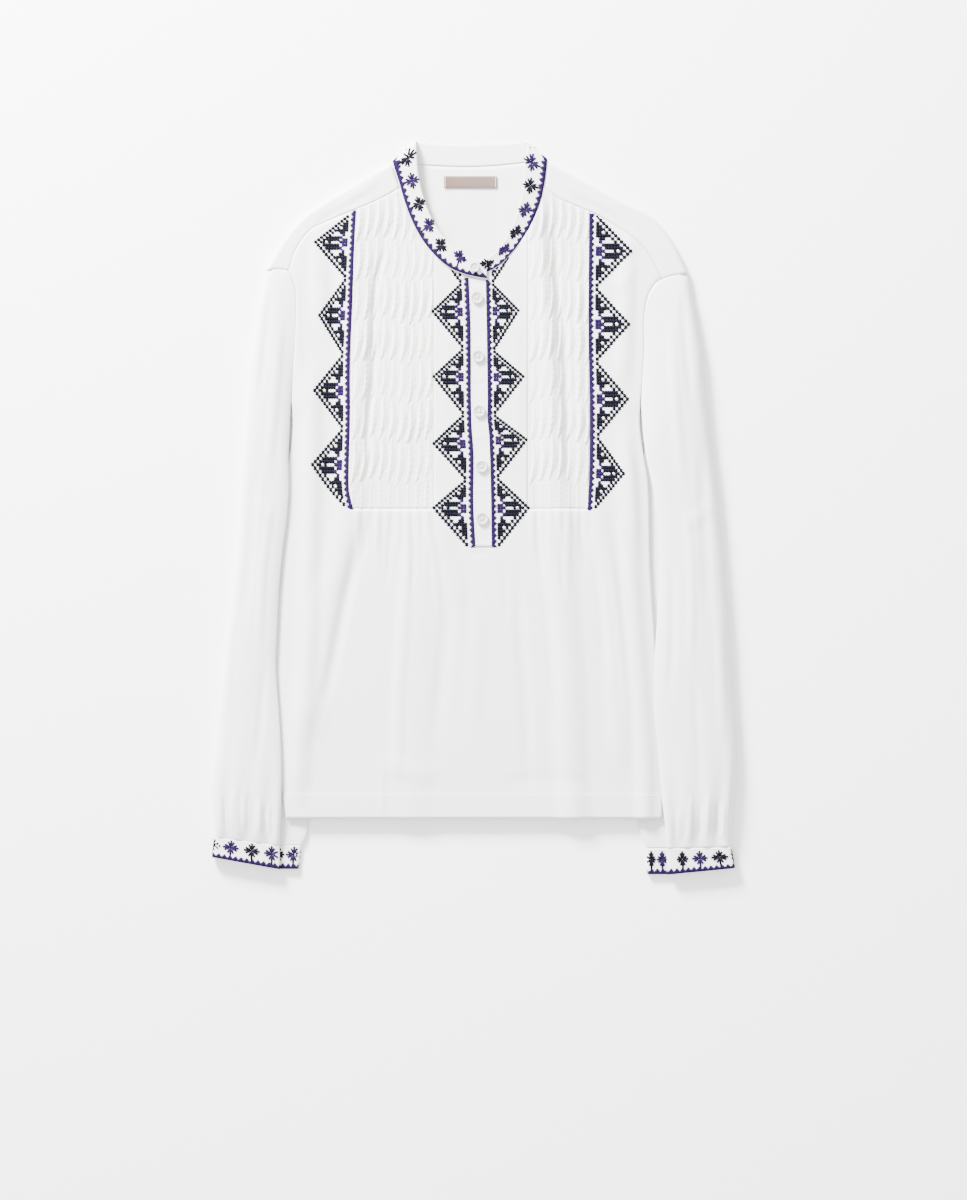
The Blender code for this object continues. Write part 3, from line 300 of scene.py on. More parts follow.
# %% [markdown]
# Thin cotton that has been folded and laid out keeps soft creases. They are placed here one by one,
# as on the real blouse: each is a line of points with its half width and its height, where a minus
# makes a trough. No two are alike, because even creases look printed.

# %% Creases placed one by one
# Columns: half width, height, points (x, y) from one end to the other
FRONT_CREASES = [
    (9.0, -2.0, [(-106, -5), (-118, -70), (-133, -140), (-152, -222)]),
    (9.0, 1.5, [(-60, -8), (-66, -90), (-72, -180), (-73, -284)]),
    (5.0, 1.2, [(-44, -3), (-38, -50), (-32, -108)]),
    (10.0, -1.3, [(-20, -70), (-30, -150), (-36, -230)]),
    (2.6, -0.9, [(-99, -1), (-102, -26), (-107, -58)]),
    (2.2, 0.8, [(-91, -1), (-92, -20), (-95, -46)]),
    (2.4, -0.9, [(-79, -1), (-80, -34), (-83, -81)]),
    (2.1, 0.8, [(-70, -1), (-70, -22), (-72, -38)]),
    (2.6, -1.0, [(-57, -1), (-57, -40), (-60, -96)]),
    (2.2, -0.8, [(-47, -1), (-46, -18), (-44, -41)]),
    (2.3, -0.9, [(60, -1), (61, -30), (65, -74)]),
    (2.1, 0.8, [(68, -1), (69, -24), (72, -44)]),
    (2.6, -1.0, [(79, -1), (81, -38), (86, -92)]),
    (2.2, 0.8, [(90, -1), (92, -20), (95, -40)]),
    (2.4, -0.9, [(99, -1), (102, -28), (107, -62)]),
    (12.0, 0.7, [(8, -60), (2, -130), (-2, -240)]),
    (9.0, -1.2, [(40, -40), (44, -120), (50, -200), (52, -280)]),
    (6.0, 1.3, [(123, -12), (134, -80), (141, -150), (150, -238)]),
    (6.0, -1.3, [(112, -30), (120, -90), (126, -170)]),
    (5.0, 0.8, [(135, -3), (144, -40), (152, -82)]),
    (8.0, -0.9, [(66, -60), (74, -140), (80, -220)]),
    (8.0, 0.8, [(-168, 255), (-169, 190), (-166, 120), (-162, 60)]),
    (5.0, 0.7, [(-153, 264), (-152, 215), (-150, 172)]),
    (10.0, -0.9, [(-160, 90), (-163, 20), (-166, -60), (-170, -130)]),
    (11.0, -0.9, [(-136, -20), (-146, -110), (-152, -200)]),
    (9.0, 0.8, [(150, 238), (139, 214), (128, 206)]),
    (8.0, -0.8, [(152, 250), (146, 228), (136, 216)]),
    (7.0, 0.6, [(148, 60), (152, 10), (156, -40)]),
    (14.0, 0.8, [(-100, -240), (-60, -248), (-24, -252)]),
    (12.0, -0.6, [(20, -262), (70, -256), (120, -262)]),
    (5.0, -0.6, [(-5, -42), (4, -42), (14, -43)]),
    (4.0, 0.6, [(-87, -247), (-87, -270), (-87, -293)]),
    (6.0, 0.5, [(-20, -40), (-14, -60), (-12, -96)]),
    (6.0, -0.5, [(24, -40), (30, -70), (32, -110)]),
    (9.0, 0.5, [(-22, 200), (-26, 120), (-24, 40)]),
    (7.0, 0.5, [(38, 190), (42, 110), (40, 30)]),
]
BACK_CREASES = [
    (12.0, 1.0, [(-90, 195), (-96, 80), (-88, -60)]),
    (9.0, 0.9, [(60, 205), (72, 60), (66, -120)]),
    (14.0, 1.1, [(-30, 60), (-40, -90), (-28, -286)]),
    (10.0, 0.9, [(24, -20), (38, -150), (30, -288)]),
    (8.0, 0.8, [(-120, 20), (-112, -110), (-100, -250)]),
    (8.0, 0.8, [(108, 30), (116, -90), (112, -230)]),
    (16.0, 0.8, [(-70, 150), (0, 138), (66, 152)]),
    (12.0, 0.7, [(-60, -200), (-10, -214), (60, -204)]),
]
SLEEVE_CREASES = {
    "left": [
        (6.0, -1.2, [(-192, 215), (-197, 160), (-203, 95)]),
        (7.0, 1.2, [(-183, 196), (-188, 120), (-196, 20)]),
        (8.0, -1.3, [(-205, 60), (-212, -40), (-220, -130)]),
        (6.0, 1.1, [(-190, 20), (-200, -60), (-204, -150)]),
        (7.0, 1.2, [(-228, -60), (-233, -140), (-236, -210)]),
        (6.0, -0.9, [(-196, -130), (-202, -200), (-208, -258)]),
        (3.0, 1.1, [(-215, -258), (-217, -284), (-216, -306)]),
        (2.6, 1.2, [(-228, -266), (-229, -288), (-228, -307)]),
        (2.6, -1.1, [(-222, -262), (-222, -286), (-221, -308)]),
        (2.6, 1.1, [(-202, -270), (-203, -290), (-203, -310)]),
        (2.4, -1.1, [(-208, -272), (-209, -290), (-209, -310)]),
        (2.3, 1.1, [(-193, -274), (-194, -294), (-193, -312)]),
        (2.4, -1.1, [(-236, -272), (-236, -288), (-235, -306)]),
        (2.2, -1.0, [(-198, -280), (-198, -296), (-197, -311)]),
        (9.0, 0.9, [(-214, 10), (-200, -4), (-186, -8)]),
    ],
    "right": [
        (6.0, -1.2, [(196, 210), (201, 150), (206, 90)]),
        (7.0, 1.2, [(186, 190), (190, 110), (198, 10)]),
        (8.0, -1.3, [(214, 70), (218, -20), (222, -120)]),
        (6.0, 1.1, [(200, 10), (206, -70), (204, -160)]),
        (6.0, -1.2, [(186, -40), (188, -120), (184, -190)]),
        (7.0, 1.2, [(230, -80), (234, -160), (236, -230)]),
        (6.0, -0.9, [(208, -150), (212, -220), (214, -270)]),
        (3.0, 1.1, [(222, -264), (221, -290), (220, -316)]),
        (2.6, -1.1, [(214, -272), (214, -294), (213, -318)]),
        (2.8, 1.2, [(206, -266), (205, -292), (205, -318)]),
        (2.5, -1.1, [(230, -274), (230, -294), (229, -316)]),
        (2.4, 1.1, [(194, -280), (194, -300), (194, -319)]),
        (2.4, 1.1, [(236, -276), (236, -296), (235, -316)]),
        (2.2, -1.0, [(200, -284), (200, -300), (199, -318)]),
        (9.0, 0.9, [(226, 6), (210, -10), (194, -14)]),
    ],
}
YOKE_CREASES = [
    (7.0, 0.9, [(-84, 318), (-108, 300), (-140, 276)]),
    (6.0, -0.8, [(-96, 300), (-124, 286), (-158, 262)]),
    (7.0, 0.9, [(80, 312), (104, 298), (140, 278)]),
    (6.0, -0.8, [(92, 298), (120, 284), (156, 256)]),
    (14.0, 0.8, [(-40, 300), (-30, 270), (-36, 236)]),
    (12.0, 0.7, [(36, 304), (30, 268), (42, 232)]),
]


def creases_at(rows, x, y, fade_share=0.3):
    """Height that a table of creases adds at the points, fading out over a share of each end."""
    height = np.zeros(np.shape(x))
    for half, crest, points in rows:
        line = dense_line(points, 24)
        best = np.full(np.shape(x), 1e9)
        where = np.zeros(np.shape(x))
        for k in range(24):
            a, run = line[k], line[k + 1] - line[k]
            t = np.clip(((x - a[0]) * run[0] + (y - a[1]) * run[1]) / (run @ run), 0.0, 1.0)
            far = np.hypot(x - a[0] - t * run[0], y - a[1] - t * run[1])
            where = np.where(far < best, (k + t) / 24, where)
            best = np.minimum(best, far)
        fade = ease(where / fade_share) * ease((1.0 - where) / fade_share)
        height = height + crest * fade * bump(best, half)
    return height


# %% [markdown]
# Every cloth piece becomes a mesh in the same way: a grid of points in millimetres gets faces, the
# faces get the thickness of cloth with Solidify, and the result is shaded smooth. Each piece keeps
# its own UV map in millimetres along the cloth, so that the weave runs with it and not across it.

# %% A helper that turns a grid of points into cloth
PIECES = {}


def new_object(name, data):
    """Object with this data, put into the scene."""
    made = bpy.data.objects.new(name, data)
    bpy.context.scene.collection.objects.link(made)
    return made


def select_only(piece):
    """Make the piece the active and the only selected one."""
    bpy.ops.object.select_all(action="DESELECT")
    bpy.context.view_layer.objects.active = piece
    piece.select_set(True)


def add_uv(mesh, coords):
    """UV map in metres from the place on the cloth of each point, in millimetres."""
    layer = mesh.uv_layers.new(name="cloth")
    corners = np.empty(len(mesh.loops), int)
    mesh.loops.foreach_get("vertex_index", corners)
    layer.data.foreach_set("uv", np.asarray(coords)[corners].ravel() * MM)


def cloth_area(piece):
    """Area of one side of a thin shell, in square metres."""
    return sum(face.area for face in piece.data.polygons) / 2


def finish_mesh(name, vertices, faces, coords, slot, node, thickness=CLOTH):
    """Cloth object from points in millimetres, with its thickness applied."""
    mesh = bpy.data.meshes.new(name)
    mesh.from_pydata((np.asarray(vertices) * MM).tolist(), [], faces)
    cloth = new_object(name, mesh)
    add_uv(mesh, coords)
    mesh.shade_smooth()
    thick = cloth.modifiers.new("Thickness", "SOLIDIFY")
    thick.thickness = thickness * MM
    thick.offset = 0.0
    thick.use_even_offset = False
    select_only(cloth)
    bpy.ops.object.modifier_apply(modifier="Thickness")
    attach(cloth, "root")
    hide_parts(node)
    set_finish(cloth, slot)
    PIECES[name] = cloth
    print(name, len(cloth.data.polygons) * 2, "triangles,", round(cloth_area(cloth), 4),
          "square metres of cloth")
    return cloth


def grid_faces(rows, columns, keep=None, around=False):
    """Faces of a grid of points; around closes it into a tube, and keep says which faces stay."""
    faces = []
    for r in range(rows - 1):
        for c in range(columns if around else columns - 1):
            after = (c + 1) % columns
            if keep is None or keep(r, c):
                faces.append((r * columns + c, r * columns + after,
                              (r + 1) * columns + after, (r + 1) * columns + c))
    return faces


def used_only(vertices, faces, coords):
    """Drop the points that no face uses."""
    used = sorted({v for face in faces for v in face})
    place = {v: n for n, v in enumerate(used)}
    return vertices[used], [tuple(place[v] for v in face) for face in faces], coords[used]


def shares(rows, columns):
    """Shares of the way up and across a grid."""
    return np.linspace(0.0, 1.0, rows + 1)[:, None], np.linspace(0.0, 1.0, columns + 1)[None, :]


def laid_cloth(name, x, y, z, slot, node):
    """Cloth from grids of x, y and height, with a UV map as it is seen from above."""
    points = np.dstack([x, y, z]).reshape(-1, 3)
    return finish_mesh(name, points, grid_faces(*x.shape), points[:, :2].copy(), slot, node)


# %% [markdown]
# The front is one cloth from the hem to the shoulders. Its middle has a slit for the placket and
# its chest has two openings for the tucked inserts, so the grid is made in blocks: one wide block
# below the bib's seam, and four narrow ones above it that share its top row of points.

# %% The front's seams
STRIP_LEFT_X = -38.0
STRIP_RIGHT_X = 51.0
PLACKET_LINES = {"left": (-6.4, -0.2), "right": (12.3, 18.1)}    # x at the neck and at the end
PLACKET_TOP_Y = {"left": 219.3, "right": 216.6}
STRIP_TOP = {
    "left": [(-38.0, 240.3), (-30.9, 234.2), (-23.8, 228.1), (-16.4, 225.0), (-6.4, 221.0)],
    "right": [(12.9, 224.1), (25.2, 231.3), (36.1, 242.2), (45.0, 253.8), (51.0, 263.3)],
}


def line_x(line, y):
    (x0, y0), (x1, y1) = line
    return x0 + (x1 - x0) * (y - y0) / (y1 - y0)


def placket_x(which, y):
    top, end = PLACKET_LINES[which]
    return top + (end - top) * (PLACKET_TOP_Y[which] - y) / (PLACKET_TOP_Y[which] - PLACKET_END_Y)


def band_x(side, y):
    return side["sign"] * line_x(side["band_line"], y)


SEAM_HALF = 1.9
SEAM_DIP = -0.38
seam_lines = [[(band_x(side, 0.0), 0.0), (band_x(side, 283.0), 283.0)] for _, side in SIDES]
seam_lines += [signed(side, side["forward_seam"]) for _, side in SIDES]
seam_lines += [signed(side, side["armhole"]) for _, side in SIDES]
seam_lines += [[(-119.5, 0.0), (STRIP_LEFT_X, 0.0)], [(STRIP_RIGHT_X, 0.0), (109.6, 0.0)]]
seam_lines += [[(placket_x(which, y), y) for y in (PLACKET_TOP_Y[which], PLACKET_END_Y)]
               for which in ("left", "right")]
seam_rows = [(SEAM_HALF, SEAM_DIP, line) for line in seam_lines]


def seams_at(x, y):
    """The shallow groove along every seam of the front."""
    return creases_at(seam_rows, x, y, 0.01)


def body_hole(side, gap):
    """Armhole edge of a body piece, from the shoulder down to the underarm."""
    line = aside(dense_line(signed(side, side["armhole"]), 90), gap * -side["sign"])
    line[-10:, 0] -= side["sign"] * 0.9 * np.linspace(0.0, 1.0, 10)
    return line


# %% The front as one cloth
# Columns: name of the stop on the right, number of columns up to it
FRONT_BLOCKS = [("band left", 26), ("strip left", 38), ("placket left", 14), ("placket right", 8),
                ("strip right", 14), ("band right", 28), ("edge right", 24)]
LOWER_ROWS = 112
UPPER_ROWS = 110
SLIT_ROWS = 15              # rows between the placket's end and the inserts' lower seams
HEM_STEP = 1.6              # how far the edge of the turned-up hem is rounded


def make_front():
    counts = [count for _, count in FRONT_BLOCKS]
    starts = [sum(counts[:n]) for n in range(len(counts) + 1)]
    width = starts[-1] + 1
    slit_row = LOWER_ROWS - SLIT_ROWS
    ys = np.concatenate([np.linspace(HEM_Y, PLACKET_END_Y, slit_row + 1),
                         np.linspace(PLACKET_END_Y, 0.0, SLIT_ROWS + 1)[1:]])
    level = len(ys) - 1
    spots = np.zeros((level + 1 + UPPER_ROWS, width, 2))
    for r, y in enumerate(ys):
        stops = [-LEFT["body_edge_at"](y), band_x(LEFT, max(y, 0.0)), STRIP_LEFT_X,
                 placket_x("left", y), placket_x("right", y), STRIP_RIGHT_X,
                 band_x(RIGHT, max(y, 0.0)), RIGHT["body_edge_at"](y)]
        spots[r, :, 0] = np.interp(np.arange(width), starts, stops)
        spots[r, :, 1] = y
    low = spots[level]
    for n, side in ((0, LEFT), (6, RIGHT)):
        sign = side["sign"]
        below = [(sign * side["body_edge_at"](y), y) for y in (0.0, 26.0, 52.0, 78.0)]
        hole = body_hole(side, ARMHOLE_GAP)
        start = int(np.argmin(np.linalg.norm(hole - np.array(signed(side, side["armhole"])[3]), axis=1)))
        edge = dense_line(np.concatenate([below, hole[start:][::-1]]), UPPER_ROWS)
        seam = np.array(signed(side, side["forward_seam"][3:])) - (0.0, SEAM_GAP)
        seam[-1] = edge[-1]
        high = seam[0][1]
        inner = np.array([(band_x(side, y) + sign * SEAM_GAP / 2, y)
                          for y in np.linspace(0.0, high, UPPER_ROWS + 1)])
        seam[0] = inner[-1]
        top = dense_line(seam, counts[n])
        bottom = low[starts[n]:starts[n + 1] + 1]
        if side is LEFT:
            block = patch(bottom, top[::-1], edge, inner)
        else:
            block = patch(bottom, top, inner, edge)
        spots[level:, starts[n]:starts[n + 1] + 1] = block
    for n, which in ((2, "left"), (4, "right")):
        neck = aside(dense_line(STRIP_TOP[which], counts[n]), -NECK_GAP)
        left_ys = np.linspace(0.0, neck[0][1], UPPER_ROWS + 1)
        right_ys = np.linspace(0.0, neck[-1][1], UPPER_ROWS + 1)
        if which == "left":
            left = np.array([(STRIP_LEFT_X, y) for y in left_ys])
            right = np.array([(placket_x("left", y) - SEAM_GAP / 2, y) for y in right_ys])
        else:
            left = np.array([(placket_x("right", y) + SEAM_GAP / 2, y) for y in left_ys])
            right = np.array([(STRIP_RIGHT_X, y) for y in right_ys])
        neck[0], neck[-1] = left[-1], right[-1]
        spots[level:, starts[n]:starts[n + 1] + 1] = patch(low[starts[n]:starts[n + 1] + 1], neck,
                                                           left, right)

    def keep(r, c):
        block = max(n for n in range(len(counts)) if starts[n] <= c)
        if r < slit_row:
            return True
        if r < level:
            return block != 3
        return block in (0, 2, 4, 6)

    x, y = spots[..., 0], spots[..., 1]
    hem = ease((HEM_Y + HEM_DEPTH - y) / HEM_STEP)
    z = lay(x, y) + WALL / 2 + gathers_at(x, y) + creases_at(FRONT_CREASES, x, y) + 0.45 * hem
    z += seams_at(x, y)
    points = np.dstack([x, y, z]).reshape(-1, 3)
    faces = grid_faces(spots.shape[0], width, keep)
    points, faces, flat = used_only(points, faces, points[:, :2].copy())
    return finish_mesh("blouse_front", points, faces, flat, "cloth", "front")


front = make_front()

# %% [markdown]
# The collar is a narrow band, folded flat round the neck with its left end over its right one. Its
# outline also borders the inserts and the yoke, so its table comes before theirs.

# %% The collar's stations
# Columns: base x, y, top x, y, height of the base, height of the top
COLLAR = [
    (12.4, 217.3, 11.6, 235.2, 9.75, 10.9),
    (3.0, 218.9, 4.4, 235.4, 9.75, 10.9),
    (-9.0, 221.8, -6.2, 237.8, 9.55, 10.9),
    (-23.8, 228.1, -16.7, 245.2, 8.5, 10.3),
    (-38.0, 240.3, -27.2, 255.6, 7.75, 9.7),
    (-50.1, 255.4, -36.6, 268.6, 7.65, 9.5),
    (-60.0, 273.8, -44.0, 284.0, 7.65, 9.4),
    (-67.0, 292.4, -49.0, 299.0, 7.65, 9.3),
    (-72.0, 309.5, -52.2, 314.4, 7.65, 9.2),
    (-75.8, 320.6, -54.0, 331.0, 7.4, 9.0),
    (-77.2, 325.8, -54.8, 343.8, 6.6, 8.2),
    (-77.9, 328.4, -55.2, 348.6, 4.2, 4.9),
    (-76.6, 328.6, -54.2, 348.6, 1.6, 1.7),
    (-69.0, 328.0, -50.0, 348.0, 0.65, 0.65),
    (-52.0, 327.0, -42.0, 347.0, 0.65, 0.65),
    (-30.0, 325.6, -26.0, 346.0, 0.65, 0.65),
    (-4.3, 325.0, -4.0, 345.6, 0.65, 0.65),
    (22.0, 326.2, 18.0, 346.2, 0.65, 0.65),
    (44.0, 328.6, 36.0, 347.2, 0.65, 0.65),
    (61.0, 330.4, 44.6, 348.2, 0.65, 0.65),
    (68.6, 331.0, 49.0, 348.8, 1.6, 1.7),
    (69.9, 330.6, 50.6, 348.0, 4.2, 4.9),
    (69.9, 327.2, 50.2, 341.6, 6.6, 8.2),
    (69.3, 319.6, 48.0, 329.6, 7.4, 9.0),
    (67.7, 308.0, 47.0, 313.6, 7.65, 9.2),
    (64.5, 294.0, 45.4, 298.6, 7.65, 9.3),
    (59.5, 280.5, 41.2, 282.8, 7.65, 9.4),
    (53.0, 266.5, 36.6, 269.0, 7.65, 9.4),
    (45.0, 253.8, 30.6, 257.0, 7.65, 9.3),
    (36.1, 242.2, 24.0, 246.6, 7.65, 9.1),
    (25.2, 231.3, 16.2, 239.2, 7.65, 8.9),
    (13.2, 224.3, 8.0, 235.4, 7.65, 8.8),
    (2.0, 220.7, 0.4, 234.2, 7.65, 8.7),
    (-6.2, 219.9, -6.2, 234.2, 7.65, 8.7),
]


# %% [markdown]
# The inserts are the handwork of this blouse: narrow tucks are sewn down the cloth and then pushed
# to one side and the other by rows of cross stitching, so each row looks like a row of leaves. Here
# a tuck is a ridge with one steep side, and its line swings inside each row and snaps back at the
# row's end. The last short rows are pressed straight.

# %% Tucked inserts
TUCK_ROWS_Y = [255.6, 217.6, 178.6, 140.6, 102.6, 65.5, 25.6]     # where the rows of leaves end
TUCK_PITCH = 8.7
TUCK_HEIGHT = 1.45
TOP_ROW_LENGTH = 39.0
TUCK_PLACE = 0.42           # where a ridge's crest is in its pitch, as a share
STEEP_REACH = 1.0
FLAT_REACH = 5.4
FINE_RIDGE = 0.3
PUCKER = 0.13
INSERT_ROWS = 230
FIRST_HEIGHT = 282.6        # a first guess, which three rounds bring to the seams
# Folds that run down an insert. Columns: half width, height, points
INSERT_CREASES = [
    (5.0, -1.6, [(-83, 292), (-84, 244), (-90, 227), (-94, 190), (-95, 120), (-101, 84), (-103, 32),
                 (-119, -2)]),
    (8.0, 1.2, [(-92, 288), (-98, 240), (-104, 160), (-110, 60)]),
    (7.0, 0.8, [(-60, 262), (-66, 180), (-64, 90), (-66, 10)]),
    (7.0, -2.0, [(69, 300), (75, 255), (80, 198), (84, 160), (87, 104), (90, 28), (93, -2)]),
    (8.0, 1.4, [(60, 296), (64, 240), (70, 160), (76, 60)]),
    (6.0, 0.9, [(98, 276), (99, 200), (101, 100), (103, 10)]),
]


def neck_limit(side, x):
    """Collar line beside an insert as a function of x."""
    rows = COLLAR[3:9] if side is LEFT else COLLAR[24:32][::-1]
    line = aside(dense_line([(row[0], row[1]) for row in rows], 80), NECK_GAP * -side["sign"])
    order = np.argsort(np.abs(line[:, 0]))
    return np.interp(np.abs(x), np.abs(line[order, 0]), line[order, 1], right=1e3)


def seam_limit(side, x):
    line = dense_line(side["forward_seam"][:5], 60)
    return np.interp(np.abs(x), line[:, 0], line[:, 1])


def tuck_relief(x, y, left, right):
    """Height of the tucks, and how far their cloth is pulled aside."""
    rows = np.array(TUCK_ROWS_Y[::-1])
    around = np.floor((x - left) / TUCK_PITCH)
    y = y + 3.0 * np.sin(5.3 * around + 0.8) + 1.2 * np.sin(x * 0.9)
    k = np.clip(np.searchsorted(rows, y) - 1, -1, len(rows) - 1)
    wave = k >= 0
    low = rows[np.maximum(k, 0)]
    inside = wave & (k + 1 < len(rows))
    high = np.where(inside, rows[np.minimum(k + 1, len(rows) - 1)], low + TOP_ROW_LENGTH)
    t = np.clip((y - low) / (high - low), 0.0, 1.0)
    middle = np.where(wave, np.sin(pi * t), 0.0)
    swing = np.where(wave, 1.5 * middle ** 1.3 - 1.9 * (1.0 - t) ** 3 + 0.9 * t ** 3, 0.0)
    place = (x - swing - left) / TUCK_PITCH
    number = np.floor(place)
    step = np.maximum(k, -1)
    vary = 0.5 + 0.5 * np.sin(12.9 * number + 4.1 * step + 1.7)
    wander = 0.07 * np.sin(7.3 * number + 2.9 * step) * middle
    away = (place - number - TUCK_PLACE - wander) * TUCK_PITCH
    wide = np.where(wave, 0.36 + 0.64 * middle ** 0.8, 0.55) * (0.85 + 0.3 * vary)
    reach = np.where(away < 0, STEEP_REACH, FLAT_REACH) * wide
    shape = np.clip(1.0 - np.abs(away) / reach, 0.0, 1.0)
    leaf = np.where(wave, 0.5 + 0.5 * middle, 0.45)
    near = np.minimum(x - left, right - x)
    pucker = PUCKER * np.sin(y * 1.1 + 3.0 * np.sin(number * 2.3)) * np.sin(place * pi) ** 2
    fine = FINE_RIDGE * bump(away - 3.6 * wide + 0.5 * np.sin(number * 3.1), 0.9) * middle
    return (TUCK_HEIGHT * (0.6 + 0.6 * vary) * leaf * ease(shape) + fine + pucker) * ease(near / 2.5)


def make_insert(name, side, inner_x, columns):
    v, u = shares(INSERT_ROWS, columns)
    inner = inner_x + side["sign"] * SEAM_GAP
    y = np.repeat(SEAM_GAP + FIRST_HEIGHT * v, columns + 1, axis=1)
    for _ in range(3):
        outer = band_x(side, y) - side["sign"] * SEAM_GAP / 2
        left, right = np.minimum(outer, inner), np.maximum(outer, inner)
        x = left + (right - left) * u
        top = np.minimum(neck_limit(side, x), seam_limit(side, x)) - SEAM_GAP
        y = SEAM_GAP + (top - SEAM_GAP) * v
    z = lay(x, y) + WALL / 2 + tuck_relief(x, y, left, right)
    z += creases_at(INSERT_CREASES, x, y) * ease((y - 2.0) / 14.0) * ease((top - y) / 10.0)
    z += seams_at(x, y)
    return laid_cloth(f"tucked_insert_{name}", x, y, z, "tucks", f"insert_{name}")


insert_left = make_insert("left", LEFT, STRIP_LEFT_X, 120)
insert_right = make_insert("right", RIGHT, STRIP_RIGHT_X, 92)

# %% [markdown]
# The placket is the strip that the buttonholes are in, and the underlap below it is the strip that
# the buttons are sewn on. Both are plain folded bands, so they are slightly raised at their edges.

# %% Placket and underlap
PLACKET_RISE = 0.55
UNDERLAP_RISE = -1.65
UNDERLAP_INSET = 1.2
UNDERLAP_DROP = 3.0
STRIP_ROWS = 150
PLACKET_CREASES = [
    (2.5, 0.45, [(-4, 208), (3, 209), (12, 207)]),
    (3.0, 0.4, [(-3, 152), (5, 154), (13, 151)]),
    (2.5, -0.35, [(-2, 120), (6, 118), (14, 121)]),
    (3.0, 0.35, [(-1, 66), (6, 69), (15, 66)]),
    (2.5, 0.35, [(0, 18), (8, 16), (16, 19)]),
]


def make_strip(name, node, rise, inset, top_drop, columns):
    v, u = shares(STRIP_ROWS, columns)
    top = PLACKET_TOP_Y["left"] * (1 - u) + PLACKET_TOP_Y["right"] * u - SEAM_GAP - top_drop
    low = PLACKET_END_Y + SEAM_GAP
    y = low + (top - low) * v
    left = placket_x("left", y) + inset
    right = placket_x("right", y) - inset
    x = left + (right - left) * u
    near = np.minimum(np.minimum(x - left, right - x), y - low)
    z = lay(x, y) + rise + WALL / 2 + 0.3 * bump(near - 1.5, 1.5)
    z += creases_at(PLACKET_CREASES, x, y) if rise > 0 else 0.0
    return laid_cloth(name, x, y, z, "trim", node)


placket = make_strip("button_placket", "placket", PLACKET_RISE, SEAM_GAP, 0.0, 16)
underlap = make_strip("placket_underlap", "underlap", UNDERLAP_RISE, UNDERLAP_INSET,
                      UNDERLAP_DROP, 10)

# %% [markdown]
# The back lies on the table from the yoke's seam to the hem, and only its sides ride up over the
# tucked sleeves. Where cotton lies on a table it still lifts in a few soft places, so its creases
# are ridges and never troughs, which would go through the table.

# %% The back
def make_back():
    rows, columns = 170, 124
    edges = []
    for _, side in SIDES:
        below = [(side["sign"] * side["body_edge_at"](y), y) for y in np.linspace(HEM_Y + 0.4, 80.0, 14)]
        hole = body_hole(side, ARMHOLE_GAP)
        start = int(np.argmin(np.linalg.norm(hole - np.array(signed(side, side["armhole"])[4]), axis=1)))
        line = np.concatenate([below, hole[start:][::-1]])
        line[-1, 1] = BACK_SEAM_Y - SEAM_GAP
        edges.append(dense_line(line, rows))
    u = np.linspace(0.0, 1.0, columns + 1)[None, :, None]
    spots = edges[0][:, None] * (1 - u) + edges[1][:, None] * u
    x, y = spots[..., 0], spots[..., 1]
    tuck = np.where(x < 0, LEFT["tuck_edge_at"](y), RIGHT["tuck_edge_at"](y))
    lift = TUCKED_LIFT * ease((np.abs(x) - tuck + 18.0) / 13.0) * ease((UNDERARM_Y - y) / UNDERARM_FADE)
    raised = creases_at(BACK_CREASES, x, y) * ease((BACK_SEAM_Y - y) / 20.0)
    hem = 0.35 * ease((HEM_Y + HEM_DEPTH - y) / HEM_STEP)
    z = WALL / 2 - 0.25 + lift + np.maximum(raised, 0.0) + hem
    return laid_cloth("blouse_back", x, y, z, "cloth", "back")


back = make_back()

# %% [markdown]
# The yoke is cut as one piece: it covers the upper back, goes up round the neck and folds forward
# over both shoulders. Each column of its grid runs from the back seam up to the shoulder, turns over
# in a half circle and comes down to the forward seam.

# %% The yoke
YOKE_BACK_HALF = 62.0
YOKE_ACROSS = 64            # steps from the neck out to the armhole
YOKE_UP = 30                # steps from the back seam up to the shoulder
YOKE_TURN = 12              # steps of the half circle over the shoulder
YOKE_FLAP = 10              # steps down to the forward seam
YOKE_NECK = 42              # steps along the neck
YOKE_Z = WALL / 2 - 0.2     # height of its cloth on the table


